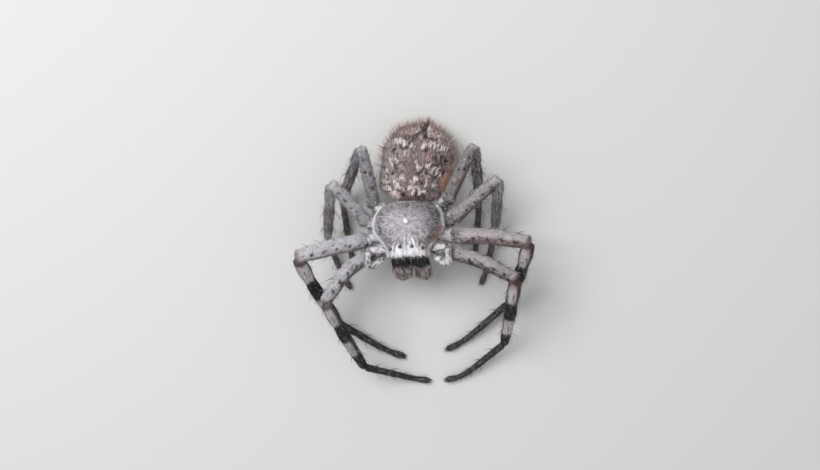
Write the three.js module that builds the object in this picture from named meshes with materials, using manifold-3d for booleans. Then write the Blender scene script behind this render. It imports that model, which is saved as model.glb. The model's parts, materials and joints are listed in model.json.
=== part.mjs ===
// A huntsman spider at life size, a grown female with her front legs curled forward into a ring.
// She rests on her eight feet and on the underside of her abdomen. Millimetres, +Z up, head towards -Y,
// her left side towards +X. The origin lies on the floor, under the middle of her outline.
import * as THREE from "three";
import { mergeVertices } from "three/addons/utils/BufferGeometryUtils.js";
import Module from "manifold-3d";

const wasm = await Module();
wasm.setup();

// Driving sizes of the body, in its own frame: its middle at 0, the head towards -Y.
const CARAPACE_LENGTH = 9.6;
const CARAPACE_FRONT = -5.15; // how far forward its face lies
const CARAPACE_WIDTH = 11.5;
const CARAPACE_TOP = 2.5; // height of the back above the rim
const RIM_HEIGHT = 0.25; // height of the rim above the middle of the body
const HEAD_WIDTH = 6.9;
const REAR_WIDTH = 8.8;
const STERNUM_LENGTH = 7.4;
const STERNUM_WIDTH = 5.2;
const STERNUM_DEPTH = 2.2; // its lowest point under the middle of the body
const STERNUM_LEVEL = 0.4; // its widest line under the middle of the body
const STERNUM_FLESH = 0.35; // the flesh above that line
const ABDOMEN_LENGTH = 13.6;
const ABDOMEN_WIDTH = 12.1;
const ABDOMEN_HEIGHT = 8.4;
const CHELICERA_LENGTH = 4.9;
const CHELICERA_WIDTH = 3.15;
const CHELICERA_DEPTH = 2.3;
const FANG_RADIUS = 0.42;
const FANG_TAPER = 0.3; // how much less that is at the point
const GAP = 0.3; // between two nodes that touch
const EYE_GAP = 0.2;

// The pose, in degrees: how far the head is raised, the left side lifted, and the abdomen lowered and turned.
const BODY_HEIGHT = 8.8;
const NOSE_UP = 20;
const LEFT_SIDE_UP = 11;
const TAIL_DOWN = 10;
const TAIL_LEFT = 16.5;
const ABDOMEN_ROLL = 6;
const ABDOMEN_FLAT = 0.15; // how much of its underside the floor presses flat

// Each pair's leg segments, the same on both sides: their lengths, and the widest radius of thigh and calf.
const SEGMENTS = {
  1: { femur: 11.0, patella: 5.2, tibia: 11.6, metatarsus: 9.6, tarsus: 2.8, thigh: 1.25, calf: 1.06 },
  2: { femur: 12.4, patella: 5.3, tibia: 11.8, metatarsus: 10.6, tarsus: 3.0, thigh: 1.38, calf: 1.1 },
  3: { femur: 9.9, patella: 4.2, tibia: 8.6, metatarsus: 7.4, tarsus: 2.4, thigh: 1.15, calf: 0.98 },
  4: { femur: 10.6, patella: 3.9, tibia: 8.3, metatarsus: 8.6, tarsus: 2.6, thigh: 1.12, calf: 0.97 },
};
// Where each coxa starts at the sternum and ends at the first knuckle: the left side's, in the body's frame.
const HIPS = {
  1: { root: [2.5, -2.4, -0.9], tip: [6.8, -3.95, -0.9] },
  2: { root: [2.8, -0.85, -0.9], tip: [7.3, -1.35, -0.9] },
  3: { root: [2.8, 0.9, -0.9], tip: [7.1, 1.5, -0.9] },
  4: { root: [2.3, 2.6, -0.9], tip: [6.0, 4.3, -0.9] },
};
// Each leg's pose: [turn, rise] of a segment, where turn 0 points forward, 90 straight out to its own side
// and 180 back, and rise is above level. The bow is how far the middle of the femur bends to the back, and a
// foot has the turns of its metatarsus and tarsus.
const LEGS = {
  leg_1_left: { pair: 1, side: 1, femur: [69, 18], bow: 0.5, shin: [-3, -40], foot: [-50, -74] },
  leg_2_left: { pair: 2, side: 1, femur: [88, 25], bow: 0.45, shin: [-9, -46], foot: [-48, -62] },
  leg_3_left: { pair: 3, side: 1, femur: [134, 18], bow: 0.15, shin: [2, -44], foot: [-10, -20] },
  leg_4_left: { pair: 4, side: 1, femur: [156, 19], bow: 0.1, shin: [10, -43], foot: [-3, -10] },
  leg_1_right: { pair: 1, side: -1, femur: [45, 33], bow: 0.9, shin: [-24, -34], foot: [-71, -80] },
  leg_2_right: { pair: 2, side: -1, femur: [80, 31], bow: 0.15, shin: [-23, -38], foot: [-58, -70] },
  leg_3_right: { pair: 3, side: -1, femur: [141, 30], bow: 0.15, shin: [8, -41], foot: [-20, -30] },
  leg_4_right: { pair: 4, side: -1, femur: [169, 23], bow: 0.1, shin: [22, -39], foot: [-8, -14] },
};
const COXA_RADIUS = 1.15;
const PATELLA_LIFT = 9; // the patella lies this much less steeply than the shin as a whole
const TIBIA_DROP = 4; // and the tibia this much more
const FEMUR_RISE = 0.3; // the middle of a femur above its straight line
const PAST_JOINT = 0.2; // how far a segment's line starts back inside the one before it
const PAST_KNEE = 0.35; // and how far a femur's line runs on past the knee
const ANKLE_HEIGHT = 0.72;
const FOOT_FLAT = 0.09; // how much of the underside of each tarsus the floor presses flat
// Shares of a segment's widest radius, as [share of its length, share of the radius].
const COXA_RADII = [[0, 0.66], [0.55, 1.02], [0.74, 0.9], [0.86, 1], [1, 0.86]];
const FEMUR_RADII = [[0, 0.92], [0.28, 1], [0.62, 0.98], [1, 0.84]];
const SHIN_RADII = [[0, 0.94], [0.16, 1.08], [0.3, 0.88], [0.42, 1], [0.75, 0.88], [1, 0.72]];
const TOE_SHARE = 0.55;
const FOOT_RADII = [[0, 0.64], [0.35, 0.6], [0.72, 0.52], [0.79, 0.48], [0.9, 0.58], [1, TOE_SHARE]];

// The spines: stiff cones that lean towards the foot, their roots sunk in the segment.
const SPINE_LENGTH = 1.9; // from the skin to the tip, and up to a quarter more or less
const SPINE_RADIUS = 0.32; // at the sunk root, so that it is half a millimetre thick at the skin
const SPINE_SUNK = 0.6;
const SPINE_SIDES = 5;
const SPINE_LEAN = 38; // degrees off the segment
// Where they stand, as [share of the segment's length, degrees round it], where 0 is level on the side that
// looks forwards or inwards, 90 is on top and 180 is level on the other side.
const SPINES = {
  femur: [[0.49, 18], [0.6, 14], [0.36, 92], [0.62, 86], [0.46, 160], [0.64, 166], [0.82, 170]],
  shin: [[0.42, 5], [0.45, 176], [0.58, -48], [0.61, 228], [0.73, 12], [0.76, 170]],
  foot: [[0.15, 4], [0.19, 178], [0.4, 12], [0.45, 168]],
};

const PALP_RADIUS = 0.66;
const PALP_RADII = {
  femur: [[0, 0.76], [0.5, 1], [1, 0.85]],
  tibia: [[0, 0.85], [0.25, 0.94], [0.42, 0.8], [0.75, 0.92], [1, 0.76]],
  tarsus: [[0, 0.72], [0.35, 0.92], [0.75, 0.78], [1, 0.45]],
};
// The joints of a palp, from its root beside the mouth to its tip, in the body's frame, for the left side.
const PALP = {
  root: [3.0, -3.1, -1.0],
  knee: [6.2, -3.5, 1.15],
  cap: [6.5, -4.7, 1.1],
  wrist: [6.4, -6.2, 0.2],
  tip: [4.0, -4.6, -0.35],
};

// Colours and finishes, as in the photo.
const finish = (color, roughness) => new THREE.MeshStandardMaterial({ color, roughness, metalness: 0 });
const FINISHES = {
  carapace: () => finish(0x8e8788, 0.85),
  abdomen: () => finish(0x7d6a64, 0.9),
  leg: () => finish(0x8f8a88, 0.85),
  banded: () => finish(0x5f5656, 0.85),
  sternum: () => finish(0x8a5e48, 0.8),
  jaw: () => finish(0x4a403c, 0.7),
  fang: () => finish(0x1c1210, 0.3),
  eye: () => finish(0x0b0a0c, 0.1),
};

const UP = new THREE.Vector3(0, 0, 1);
const radians = THREE.MathUtils.degToRad;
const vector = (p) => new THREE.Vector3(...p);
const mirrored = (p, side) => new THREE.Vector3(side * p[0], p[1], p[2]); // a left-hand point, on either side
const round = (radius) => ({ wide: radius, high: radius }); // a round section

// The value of a profile of [share, value] stops at a share, easing smoothly from stop to stop.
function profile(stops, share) {
  const next = stops.findIndex(([at]) => at >= share);
  if (next <= 0) return next === 0 ? stops[0][1] : stops[stops.length - 1][1];
  const [a, from] = stops[next - 1];
  const [b, to] = stops[next];
  return from + (to - from) * THREE.MathUtils.smoothstep(share, a, b);
}

// The unit vector that turns from forward to the leg's own side by turn degrees, and rises by rise degrees.
function heading(side, turn, rise) {
  const level = Math.cos(radians(rise));
  const out = side * Math.sin(radians(turn)) * level;
  return new THREE.Vector3(out, -Math.cos(radians(turn)) * level, Math.sin(radians(rise)));
}

// Share of the path at which ring number j of n lies. The first and last capRings of them round off the ends.
function ringShare(j, n, [first, last], capRings) {
  const lag = (k) => 1 - Math.cos((Math.PI / 2) * (k / capRings));
  if (j < capRings) return first * lag(j);
  if (n - j < capRings) return 1 - last * lag(n - j);
  return THREE.MathUtils.mapLinear(j, capRings, n - capRings, first, 1 - last);
}

// How much of its full size a section has near an end, so that the end is a quarter of an ellipse.
function roundOff(share, [first, last]) {
  const lack = Math.max(1 - share / first, 1 - (1 - share) / last, 0);
  return Math.sqrt(Math.max(0, 1 - lack * lack));
}

// A closed skin carried along a path. The section gives, at each share of the path, its half width, its
// height above and below the path, and how square it is: 1 is an ellipse, and less is boxier.
function carried(path, { sides, rings, ends, section, capRings = 2, up = UP }) {
  const geometry = new THREE.SphereGeometry(1, sides, rings);
  const spot = geometry.attributes.position;
  for (let i = 0; i < spot.count; i++) {
    const share = ringShare(Math.floor(i / (sides + 1)), rings, ends, capRings);
    const angle = ((i % (sides + 1)) / sides) * 2 * Math.PI;
    const { wide, high, low = high, square = 1 } = section(share);
    const along = path.getTangentAt(share);
    const across = up.clone().cross(along).normalize();
    const above = along.clone().cross(across);
    const size = roundOff(share, ends);
    const c = -Math.cos(angle);
    const s = Math.sin(angle);
    const point = path.getPointAt(share);
    point.addScaledVector(across, Math.sign(c) * Math.abs(c) ** square * wide * size);
    point.addScaledVector(above, Math.sign(s) * Math.abs(s) ** square * (s > 0 ? high : low) * size);
    spot.setXYZ(i, point.x, point.y, point.z);
  }
  return geometry;
}

// The same geometry with only its positions, and the vertices that coincide made one.
function welded(geometry) {
  const bare = geometry.clone();
  bare.deleteAttribute("normal");
  bare.deleteAttribute("uv");
  return mergeVertices(bare, 1e-4);
}

// A geometry moved outwards by an amount along its own smooth normals.
function swollen(geometry, amount) {
  const shell = welded(geometry);
  shell.computeVertexNormals();
  const spot = shell.attributes.position;
  const out = shell.attributes.normal;
  const point = new THREE.Vector3();
  const normal = new THREE.Vector3();
  for (let i = 0; i < spot.count; i++) {
    point.fromBufferAttribute(spot, i).addScaledVector(normal.fromBufferAttribute(out, i), amount);
    spot.setXYZ(i, point.x, point.y, point.z);
  }
  return shell;
}

function solidOf(geometry) {
  const bare = welded(geometry);
  const vertProperties = new Float32Array(bare.attributes.position.array);
  const triVerts = new Uint32Array(bare.index.array);
  return new wasm.Manifold(new wasm.Mesh({ numProp: 3, vertProperties, triVerts }));
}

function geometryOf(solid) {
  const mesh = solid.getMesh();
  const geometry = new THREE.BufferGeometry();
  geometry.setAttribute("position", new THREE.BufferAttribute(mesh.vertProperties, 3));
  geometry.setIndex(new THREE.BufferAttribute(mesh.triVerts, 1));
  geometry.computeVertexNormals();
  return geometry;
}

// The largest of the closed surfaces of a solid, as a solid.
const largest = (solid) => solid.decompose().sort((a, b) => b.volume() - a.volume())[0];

const spider = new THREE.Group();
const prosoma = new THREE.Group();
const abdomen = new THREE.Group();
const legs = new THREE.Group();
spider.add(prosoma, abdomen, legs);
prosoma.position.z = BODY_HEIGHT;
prosoma.rotation.set(-radians(NOSE_UP), -radians(LEFT_SIDE_UP), 0);
prosoma.updateMatrixWorld();

const FLOOR = new THREE.BoxGeometry(200, 200, 20).translate(0, 0, -10);
const made = {};

// Adds a node. Its geometry is in its group's frame. It is cut clear, by the gap, of each touching node that
// was made before, and flat where it would pass through the floor. Pieces in extra are fused to it.
function node(group, name, geometry, colour, { touching = [], extra = [], sockets = [] } = {}) {
  const inward = group.matrixWorld.clone().invert();
  let solid = solidOf(geometry);
  for (const piece of extra) solid = solid.add(solidOf(piece));
  for (const other of touching) {
    const { shape, frame } = made[other];
    const neighbour = swollen(shape, GAP).applyMatrix4(frame).applyMatrix4(inward);
    solid = solid.subtract(solidOf(neighbour));
  }
  for (const socket of sockets) solid = solid.subtract(solidOf(socket));
  solid = solid.subtract(solidOf(FLOOR.clone().applyMatrix4(inward)));
  made[name] = { shape: geometry, frame: group.matrixWorld.clone() };
  const mesh = new THREE.Mesh(geometryOf(largest(solid)), FINISHES[colour]());
  mesh.name = name;
  group.add(mesh);
}

// The carapace: a broad, low shield, narrower at the head, with a steep face where the eyes sit.
const CARAPACE_WIDTHS = [
  [0, HEAD_WIDTH * 0.98],
  [0.12, HEAD_WIDTH],
  [0.56, CARAPACE_WIDTH],
  [0.72, CARAPACE_WIDTH * 0.97],
  [1, REAR_WIDTH],
];
const CARAPACE_HEIGHTS = [[0, 0.78], [0.22, 0.98], [0.4, 1], [0.62, 0.97], [1, 0.5]];
const CARAPACE = {
  path: new THREE.LineCurve3(
    new THREE.Vector3(0, CARAPACE_FRONT, RIM_HEIGHT),
    new THREE.Vector3(0, CARAPACE_FRONT + CARAPACE_LENGTH, RIM_HEIGHT),
  ),
  sides: 28,
  rings: 18,
  ends: [0.05, 0.09],
  section: (share) => ({
    wide: profile(CARAPACE_WIDTHS, share) / 2,
    high: CARAPACE_TOP * profile(CARAPACE_HEIGHTS, share),
    low: 0.25,
    square: profile([[0, 0.7], [0.3, 0.8], [1, 0.85]], share),
  }),
};

// A point of the carapace's skin: share along it from the face, and degrees to the left of straight up.
function onCarapace(share, degrees) {
  const { wide, high, square } = CARAPACE.section(share);
  const size = roundOff(share, CARAPACE.ends);
  const across = Math.sin(radians(degrees));
  const upwards = Math.cos(radians(degrees));
  return new THREE.Vector3(
    Math.sign(across) * Math.abs(across) ** square * wide * size,
    CARAPACE_FRONT + share * CARAPACE_LENGTH,
    RIM_HEIGHT + upwards ** square * high * size,
  );
}

// The eight eyes in two rows: share along the carapace, degrees to the side, and radius.
const EYES = {
  front_middle: { share: 0.006, degrees: 13, radius: 0.3 },
  front_side: { share: 0.012, degrees: 46, radius: 0.33 },
  rear_middle: { share: 0.17, degrees: 10.5, radius: 0.28 },
  rear_side: { share: 0.15, degrees: 43, radius: 0.3 },
};
const EYE_PLACES = Object.entries(EYES).flatMap(([row, { share, degrees, radius }]) =>
  [1, -1].map((side) => ({
    name: "eye_" + row + (side > 0 ? "_left" : "_right"),
    radius,
    centre: onCarapace(share, side * degrees),
  })),
);
const ball = ({ centre, radius }, grow) =>
  new THREE.SphereGeometry(radius + grow, 8, 6).translate(centre.x, centre.y, centre.z);

node(prosoma, "carapace", carried(CARAPACE.path, CARAPACE), "carapace", {
  sockets: EYE_PLACES.map((place) => ball(place, EYE_GAP)),
});
for (const place of EYE_PLACES) node(prosoma, place.name, ball(place, 0), "eye");

// The sternum: the heart-shaped plate between the legs, with the flesh above it up to the carapace.
node(
  prosoma,
  "sternum",
  carried(
    new THREE.LineCurve3(
      new THREE.Vector3(0, -STERNUM_LENGTH / 2, -STERNUM_LEVEL),
      new THREE.Vector3(0, STERNUM_LENGTH / 2, -STERNUM_LEVEL),
    ),
    {
      sides: 16,
      rings: 12,
      ends: [0.12, 0.2],
      section: (share) => ({
        wide: (STERNUM_WIDTH / 2) * profile([[0, 0.72], [0.35, 1], [1, 0.6]], share),
        high: STERNUM_FLESH,
        low: STERNUM_DEPTH - STERNUM_LEVEL,
        square: 0.7,
      }),
    },
  ),
  "sternum",
  { touching: ["carapace"] },
);

// The jaws: two stout chelicerae side by side under the face, each with a fang folded inwards across its end.
// A fang's hinge, bow and point are given from the end of its chelicera, for the left side.
const CHELICERA_ROOT = [1.6, -4.35, -0.1];
const CHELICERA_AIM = [0, -0.5, -0.86];
const CHELICERA_SWELL = [0, -0.35, 0]; // how far its middle bulges forwards
const FANG = { hinge: [0.55, -0.25, 0.1], bow: [0.25, -0.35, -0.95], point: [-1.05, 0.1, -0.45] };
for (const side of [1, -1]) {
  const hand = side > 0 ? "left" : "right";
  const root = mirrored(CHELICERA_ROOT, side);
  const end = root.clone().addScaledVector(mirrored(CHELICERA_AIM, side).normalize(), CHELICERA_LENGTH);
  const knee = root.clone().lerp(end, 0.5).add(vector(CHELICERA_SWELL));
  node(
    prosoma,
    "chelicera_" + hand,
    carried(new THREE.QuadraticBezierCurve3(root, knee, end), {
      sides: 14,
      rings: 10,
      ends: [0.12, 0.14],
      up: new THREE.Vector3(0, 1, 0),
      section: (share) => ({
        wide: (CHELICERA_WIDTH / 2 - GAP / 2) * profile([[0, 0.9], [0.4, 1], [1, 0.92]], share),
        high: (CHELICERA_DEPTH / 2) * profile([[0, 0.9], [0.35, 1], [1, 0.75]], share),
        square: 0.85,
      }),
    }),
    "jaw",
    { touching: ["carapace", "sternum"].concat(side > 0 ? [] : ["chelicera_left"]) },
  );
  const [hinge, bow, point] = [FANG.hinge, FANG.bow, FANG.point].map((p) => mirrored(p, side).add(end));
  node(
    prosoma,
    "fang_" + hand,
    carried(new THREE.QuadraticBezierCurve3(hinge, bow, point), {
      sides: 8,
      rings: 9,
      ends: [0.15, 0.1],
      up: new THREE.Vector3(0, 1, 0),
      section: (share) => round(FANG_RADIUS - FANG_TAPER * share),
    }),
    "fang",
    { touching: ["chelicera_" + hand].concat(side > 0 ? [] : ["chelicera_left", "fang_left"]) },
  );
}

// The lip and the two maxillae behind the jaws.
const LABIUM = { root: [0, -3.3, -1.5], tip: [0, -4.5, -2.35] };
const LABIUM_SECTION = { wide: 0.65, high: 0.35, square: 0.8 };
const MAXILLA = { root: [2.25, -2.9, -1.35], tip: [1.15, -4.75, -3.0], wide: 0.62, high: 0.6 };
const labiumLine = new THREE.LineCurve3(vector(LABIUM.root), vector(LABIUM.tip));
const labiumForm = { sides: 10, rings: 6, ends: [0.2, 0.35], section: () => LABIUM_SECTION };
node(prosoma, "labium", carried(labiumLine, labiumForm), "sternum", {
  touching: ["sternum", "chelicera_left", "chelicera_right"],
});
for (const side of [1, -1]) {
  const hand = side > 0 ? "left" : "right";
  node(
    prosoma,
    "maxilla_" + hand,
    carried(
      new THREE.LineCurve3(mirrored(MAXILLA.root, side), mirrored(MAXILLA.tip, side)),
      {
        sides: 10,
        rings: 8,
        ends: [0.2, 0.25],
        section: (share) => ({ wide: MAXILLA.wide, high: MAXILLA.high * profile([[0, 1], [1, 0.8]], share) }),
      },
    ),
    "sternum",
    { touching: ["sternum", "labium", "chelicera_left", "chelicera_right", "carapace"] },
  );
}

// The abdomen, lowered until the floor meets it, and the short stalk that joins it to the body.
const ABDOMEN_OFFSET = [-0.5, -0.2, 0]; // from the rear of the carapace
const ABDOMEN_SHARES = {
  wide: [[0, 0.78], [0.32, 0.92], [0.55, 1], [0.8, 0.88], [1, 0.62]],
  high: [[0, 0.9], [0.35, 1], [0.65, 1], [1, 0.7]],
  low: [[0, 0.75], [0.4, 0.96], [0.7, 1], [1, 0.7]],
};
const abdomenForm = {
  sides: 22,
  rings: 16,
  ends: [0.1, 0.32],
  capRings: 3,
  section: (share) => ({
    wide: (ABDOMEN_WIDTH / 2) * profile(ABDOMEN_SHARES.wide, share),
    high: (ABDOMEN_HEIGHT / 2) * profile(ABDOMEN_SHARES.high, share),
    low: (ABDOMEN_HEIGHT / 2) * profile(ABDOMEN_SHARES.low, share),
  }),
};
const abdomenLine = new THREE.LineCurve3(new THREE.Vector3(0, 0, 0), new THREE.Vector3(0, ABDOMEN_LENGTH, 0));
const abdomenShape = carried(abdomenLine, abdomenForm);
const bodyRear = prosoma.localToWorld(new THREE.Vector3(0, CARAPACE_FRONT + CARAPACE_LENGTH, 0));
abdomen.rotation.set(-radians(TAIL_DOWN), -radians(ABDOMEN_ROLL), -radians(TAIL_LEFT), "ZXY");
abdomen.position.copy(bodyRear).add(vector(ABDOMEN_OFFSET));
abdomen.updateMatrixWorld();
const abdomenPlaced = abdomenShape.clone().applyMatrix4(abdomen.matrixWorld);
abdomenPlaced.computeBoundingBox();
abdomen.position.z -= abdomenPlaced.boundingBox.min.z + ABDOMEN_FLAT;
abdomen.updateMatrixWorld();
node(abdomen, "abdomen", abdomenShape, "abdomen", { touching: ["carapace"] });

const STALK = { start: [0, 3.2, -0.6], end: [0, 1.2, 0.4] };
const stalkLine = new THREE.LineCurve3(
  prosoma.localToWorld(vector(STALK.start)),
  abdomen.localToWorld(vector(STALK.end)),
);
const stalkForm = { sides: 8, rings: 8, ends: [0.15, 0.15], section: () => ({ wide: 0.7, high: 0.6 }) };
node(legs, "pedicel", carried(stalkLine, stalkForm), "sternum", {
  touching: ["carapace", "sternum", "abdomen"],
});

// Four spinnerets in a tuft under the tip of the abdomen, the front pair the stoutest.
const TUFT = [0, ABDOMEN_LENGTH * 0.955, -1.0];
const TUFT_BASE = 0.95; // radius of the mound that carries them
const NIPPLES = [
  { apart: 0.45, back: 0, radius: 0.36, length: 1.3 },
  { apart: 0.3, back: 0.5, radius: 0.3, length: 1.2 },
];
const nipples = NIPPLES.flatMap(({ apart, back, radius, length }) =>
  [1, -1].map((side) => {
    const from = vector(TUFT).add(new THREE.Vector3(side * apart, back, 0));
    const to = from.clone().add(new THREE.Vector3(side * apart * 0.5, 0.85 * length, -0.5 * length));
    return carried(new THREE.LineCurve3(from, to), {
      sides: 6,
      rings: 6,
      ends: [0.2, 0.3],
      section: (share) => round(radius * (1 - 0.35 * share)),
    });
  }),
);
node(abdomen, "spinnerets", new THREE.SphereGeometry(TUFT_BASE, 10, 6).translate(...TUFT), "sternum", {
  extra: nipples,
  touching: ["abdomen"],
});

// A smooth line through a few points.
const smooth = (...points) => new THREE.CatmullRomCurve3(points, false, "centripetal");

// One round limb segment along a line. Its radius at each share of the line is a share of its widest.
function segment(line, widest, radii, { rings = 9, ends = [0.05, 0.05] } = {}) {
  return carried(line, { sides: 8, rings, ends, section: (share) => round(widest * profile(radii, share)) });
}

// A number between 1 - spread and 1 + spread, from the seeded sequence.
const vary = (spread) => 1 + spread * (2 * THREE.MathUtils.seededRandom() - 1);

// The spines of a segment, at the places that its rows give, each a cone that leans along the line.
function spines(line, widest, radii, rows, side) {
  return rows.map(([share, degrees]) => {
    const along = line.getTangentAt(share);
    const across = UP.clone().cross(along).normalize();
    const above = along.clone().cross(across);
    const turn = radians(degrees * vary(0.04));
    const out = across.multiplyScalar(-side * Math.cos(turn)).addScaledVector(above, Math.sin(turn));
    const lean = radians(SPINE_LEAN * vary(0.15));
    const aim = out.clone().multiplyScalar(Math.sin(lean)).addScaledVector(along, Math.cos(lean));
    const length = SPINE_SUNK + SPINE_LENGTH * vary(0.25);
    const skin = line.getPointAt(share).addScaledVector(out, widest * profile(radii, share));
    const middle = skin.addScaledVector(aim, length / 2 - SPINE_SUNK);
    const turned = new THREE.Quaternion().setFromUnitVectors(new THREE.Vector3(0, 1, 0), aim);
    return new THREE.ConeGeometry(SPINE_RADIUS, length, SPINE_SIDES)
      .applyQuaternion(turned)
      .translate(middle.x, middle.y, middle.z);
  });
}

// The legs, each from the body outwards: coxa, femur, shin (patella and tibia), foot (metatarsus and tarsus).
THREE.MathUtils.seededRandom(11);
for (const [name, { pair, side, femur, bow, shin, foot }] of Object.entries(LEGS)) {
  const size = SEGMENTS[pair];
  const neighbour = name.replace(/\d/, pair - 1);
  const before = pair > 1 ? neighbour + "_coxa" : "maxilla_" + (side > 0 ? "left" : "right");
  const { root, tip } = HIPS[pair];
  const hipLine = smooth(mirrored(root, side), mirrored(tip, side));
  node(prosoma, name + "_coxa", segment(hipLine, COXA_RADIUS, COXA_RADII, { ends: [0.1, 0.14] }), "leg", {
    touching: ["carapace", "sternum", "abdomen", before],
  });

  const hip = prosoma.localToWorld(mirrored(tip, side));
  const thigh = heading(side, ...femur);
  const knee = hip.clone().addScaledVector(thigh, size.femur);
  const backwards = heading(side, femur[0] + 90, 0);
  const femurLine = smooth(
    hip.clone().addScaledVector(thigh, -PAST_JOINT),
    hip.clone().lerp(knee, 0.45).addScaledVector(UP, FEMUR_RISE).addScaledVector(backwards, bow),
    knee.clone().addScaledVector(thigh, PAST_KNEE),
  );
  node(legs, name + "_femur", segment(femurLine, size.thigh, FEMUR_RADII), "leg", {
    touching: [name + "_coxa", "carapace", "abdomen"].concat(pair > 1 ? [neighbour + "_femur"] : []),
    extra: spines(femurLine, size.thigh, FEMUR_RADII, SPINES.femur, side),
  });

  const [turn, rise] = shin;
  const cap = knee.clone().addScaledVector(heading(side, turn, rise + PATELLA_LIFT), size.patella);
  const shank = heading(side, turn, rise - TIBIA_DROP);
  const shinEnd = cap.clone().addScaledVector(shank, size.tibia);
  const shinLine = smooth(knee, cap, shinEnd);
  node(legs, name + "_shin", segment(shinLine, size.calf, SHIN_RADII, { rings: 12 }), "banded", {
    touching: [name + "_femur"],
    extra: spines(shinLine, size.calf, SHIN_RADII, SPINES.shin, side),
  });

  const descent = -THREE.MathUtils.radToDeg(Math.asin((shinEnd.z - ANKLE_HEIGHT) / size.metatarsus));
  const ankle = shinEnd.clone().addScaledVector(heading(side, foot[0], descent), size.metatarsus);
  const toe = ankle.clone().addScaledVector(heading(side, foot[1], 0), size.tarsus);
  toe.z = size.calf * TOE_SHARE - FOOT_FLAT;
  const footLine = smooth(shinEnd.clone().addScaledVector(shank, -PAST_JOINT), ankle, toe);
  node(legs, name + "_foot", segment(footLine, size.calf, FOOT_RADII, { rings: 12 }), "banded", {
    touching: [name + "_shin"],
    extra: spines(footLine, size.calf, FOOT_RADII, SPINES.foot, side),
  });
}

// The palps: short feelers that rise beside the head, with their last segment curled in towards the mouth.
for (const side of [1, -1]) {
  const hand = side > 0 ? "left" : "right";
  const [root, knee, cap, wrist, tip] = Object.values(PALP).map((p) => mirrored(p, side));
  const ends = [0.1, 0.12];
  const leg = "leg_1_" + hand;
  const thigh = segment(smooth(root, knee), PALP_RADIUS, PALP_RADII.femur, { rings: 7, ends });
  node(prosoma, "palp_femur_" + hand, thigh, "leg", {
    touching: ["carapace", "maxilla_" + hand, "chelicera_" + hand, leg + "_coxa"],
  });
  const shin = segment(smooth(knee, cap, wrist), PALP_RADIUS, PALP_RADII.tibia, { ends });
  node(prosoma, "palp_tibia_" + hand, shin, "leg", {
    touching: ["palp_femur_" + hand, leg + "_coxa", leg + "_femur"],
  });
  const foot = segment(smooth(wrist, tip), PALP_RADIUS, PALP_RADII.tarsus, { rings: 7, ends });
  node(prosoma, "palp_tarsus_" + hand, foot, "leg", {
    touching: ["palp_tibia_" + hand, "chelicera_" + hand, leg + "_coxa", leg + "_femur", "carapace"],
  });
}

// The origin goes under the middle of the outline.
const outline = new THREE.Box3().setFromObject(spider, true);
const middle = outline.getCenter(new THREE.Vector3());
spider.position.set(-middle.x, -middle.y, 0);

export default spider;
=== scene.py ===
# %% [markdown]
# # A huntsman spider at life size
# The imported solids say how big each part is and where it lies. This script dresses them for a close look:
# one skin over the whole body, a coat of short hair, long fine hairs, spines, eyes and fangs. It is written
# in millimetres, because a spider is, and a helper scales each piece to Blender's metres as it is made. All
# random numbers come from one seeded generator, so every run grows the same hairs.

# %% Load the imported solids
import itertools
import json
import math
from functools import partial
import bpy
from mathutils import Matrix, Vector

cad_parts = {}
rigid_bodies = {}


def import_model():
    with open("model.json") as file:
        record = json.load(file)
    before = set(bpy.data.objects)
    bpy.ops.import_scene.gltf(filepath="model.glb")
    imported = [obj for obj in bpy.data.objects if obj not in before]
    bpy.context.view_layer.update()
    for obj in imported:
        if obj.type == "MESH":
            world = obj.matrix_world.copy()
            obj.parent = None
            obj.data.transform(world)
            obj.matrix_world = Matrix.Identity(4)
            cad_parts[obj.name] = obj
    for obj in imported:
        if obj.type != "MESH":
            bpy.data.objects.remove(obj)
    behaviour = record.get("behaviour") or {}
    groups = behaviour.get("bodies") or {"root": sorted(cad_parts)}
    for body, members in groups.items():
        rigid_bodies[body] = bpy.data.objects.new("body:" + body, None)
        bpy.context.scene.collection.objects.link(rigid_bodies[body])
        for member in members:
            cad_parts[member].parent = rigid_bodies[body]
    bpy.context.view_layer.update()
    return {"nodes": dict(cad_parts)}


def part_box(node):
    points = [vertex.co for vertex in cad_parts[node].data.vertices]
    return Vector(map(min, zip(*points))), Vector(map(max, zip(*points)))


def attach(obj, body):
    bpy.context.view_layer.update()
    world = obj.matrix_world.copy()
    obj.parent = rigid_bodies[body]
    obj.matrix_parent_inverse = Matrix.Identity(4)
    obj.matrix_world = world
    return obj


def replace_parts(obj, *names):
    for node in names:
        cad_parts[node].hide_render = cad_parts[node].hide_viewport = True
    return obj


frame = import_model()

from types import SimpleNamespace

import bpy
import numpy as np

MM = 0.001
RNG = np.random.default_rng(20)

# %% [markdown]
# ## Vectors, turns and profiles
# A body is easiest to describe in its own upright frame and then turned into its pose. Sizes along a part
# are given at a few stops only, with a smooth ease between them, as a modeller would set the rings of a
# limb.

# %% Helpers for directions and profiles
UP = np.array([0.0, 0.0, 1.0])


def unit(vectors):
    """Each vector divided by its own length."""
    return vectors / np.maximum(np.linalg.norm(vectors, axis=-1, keepdims=True), 1e-12)


def about(axis, degrees):
    """The matrix of a turn about one axis: its cosine on the other two, its sine and minus sine between
    them."""
    i, j = {"x": (1, 2), "y": (2, 0), "z": (0, 1)}[axis]
    turn = np.eye(3)
    turn[i, i] = turn[j, j] = math.cos(math.radians(degrees))
    turn[j, i] = math.sin(math.radians(degrees))
    turn[i, j] = -turn[j, i]
    return turn


def heading(side, turn, rise):
    """The unit vector that turns from forward to its own side by one angle and rises by another, in
    degrees."""
    turn, rise = math.radians(turn), math.radians(rise)
    return np.array([side * math.sin(turn), -math.cos(turn), math.tan(rise)]) * math.cos(rise)


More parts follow.
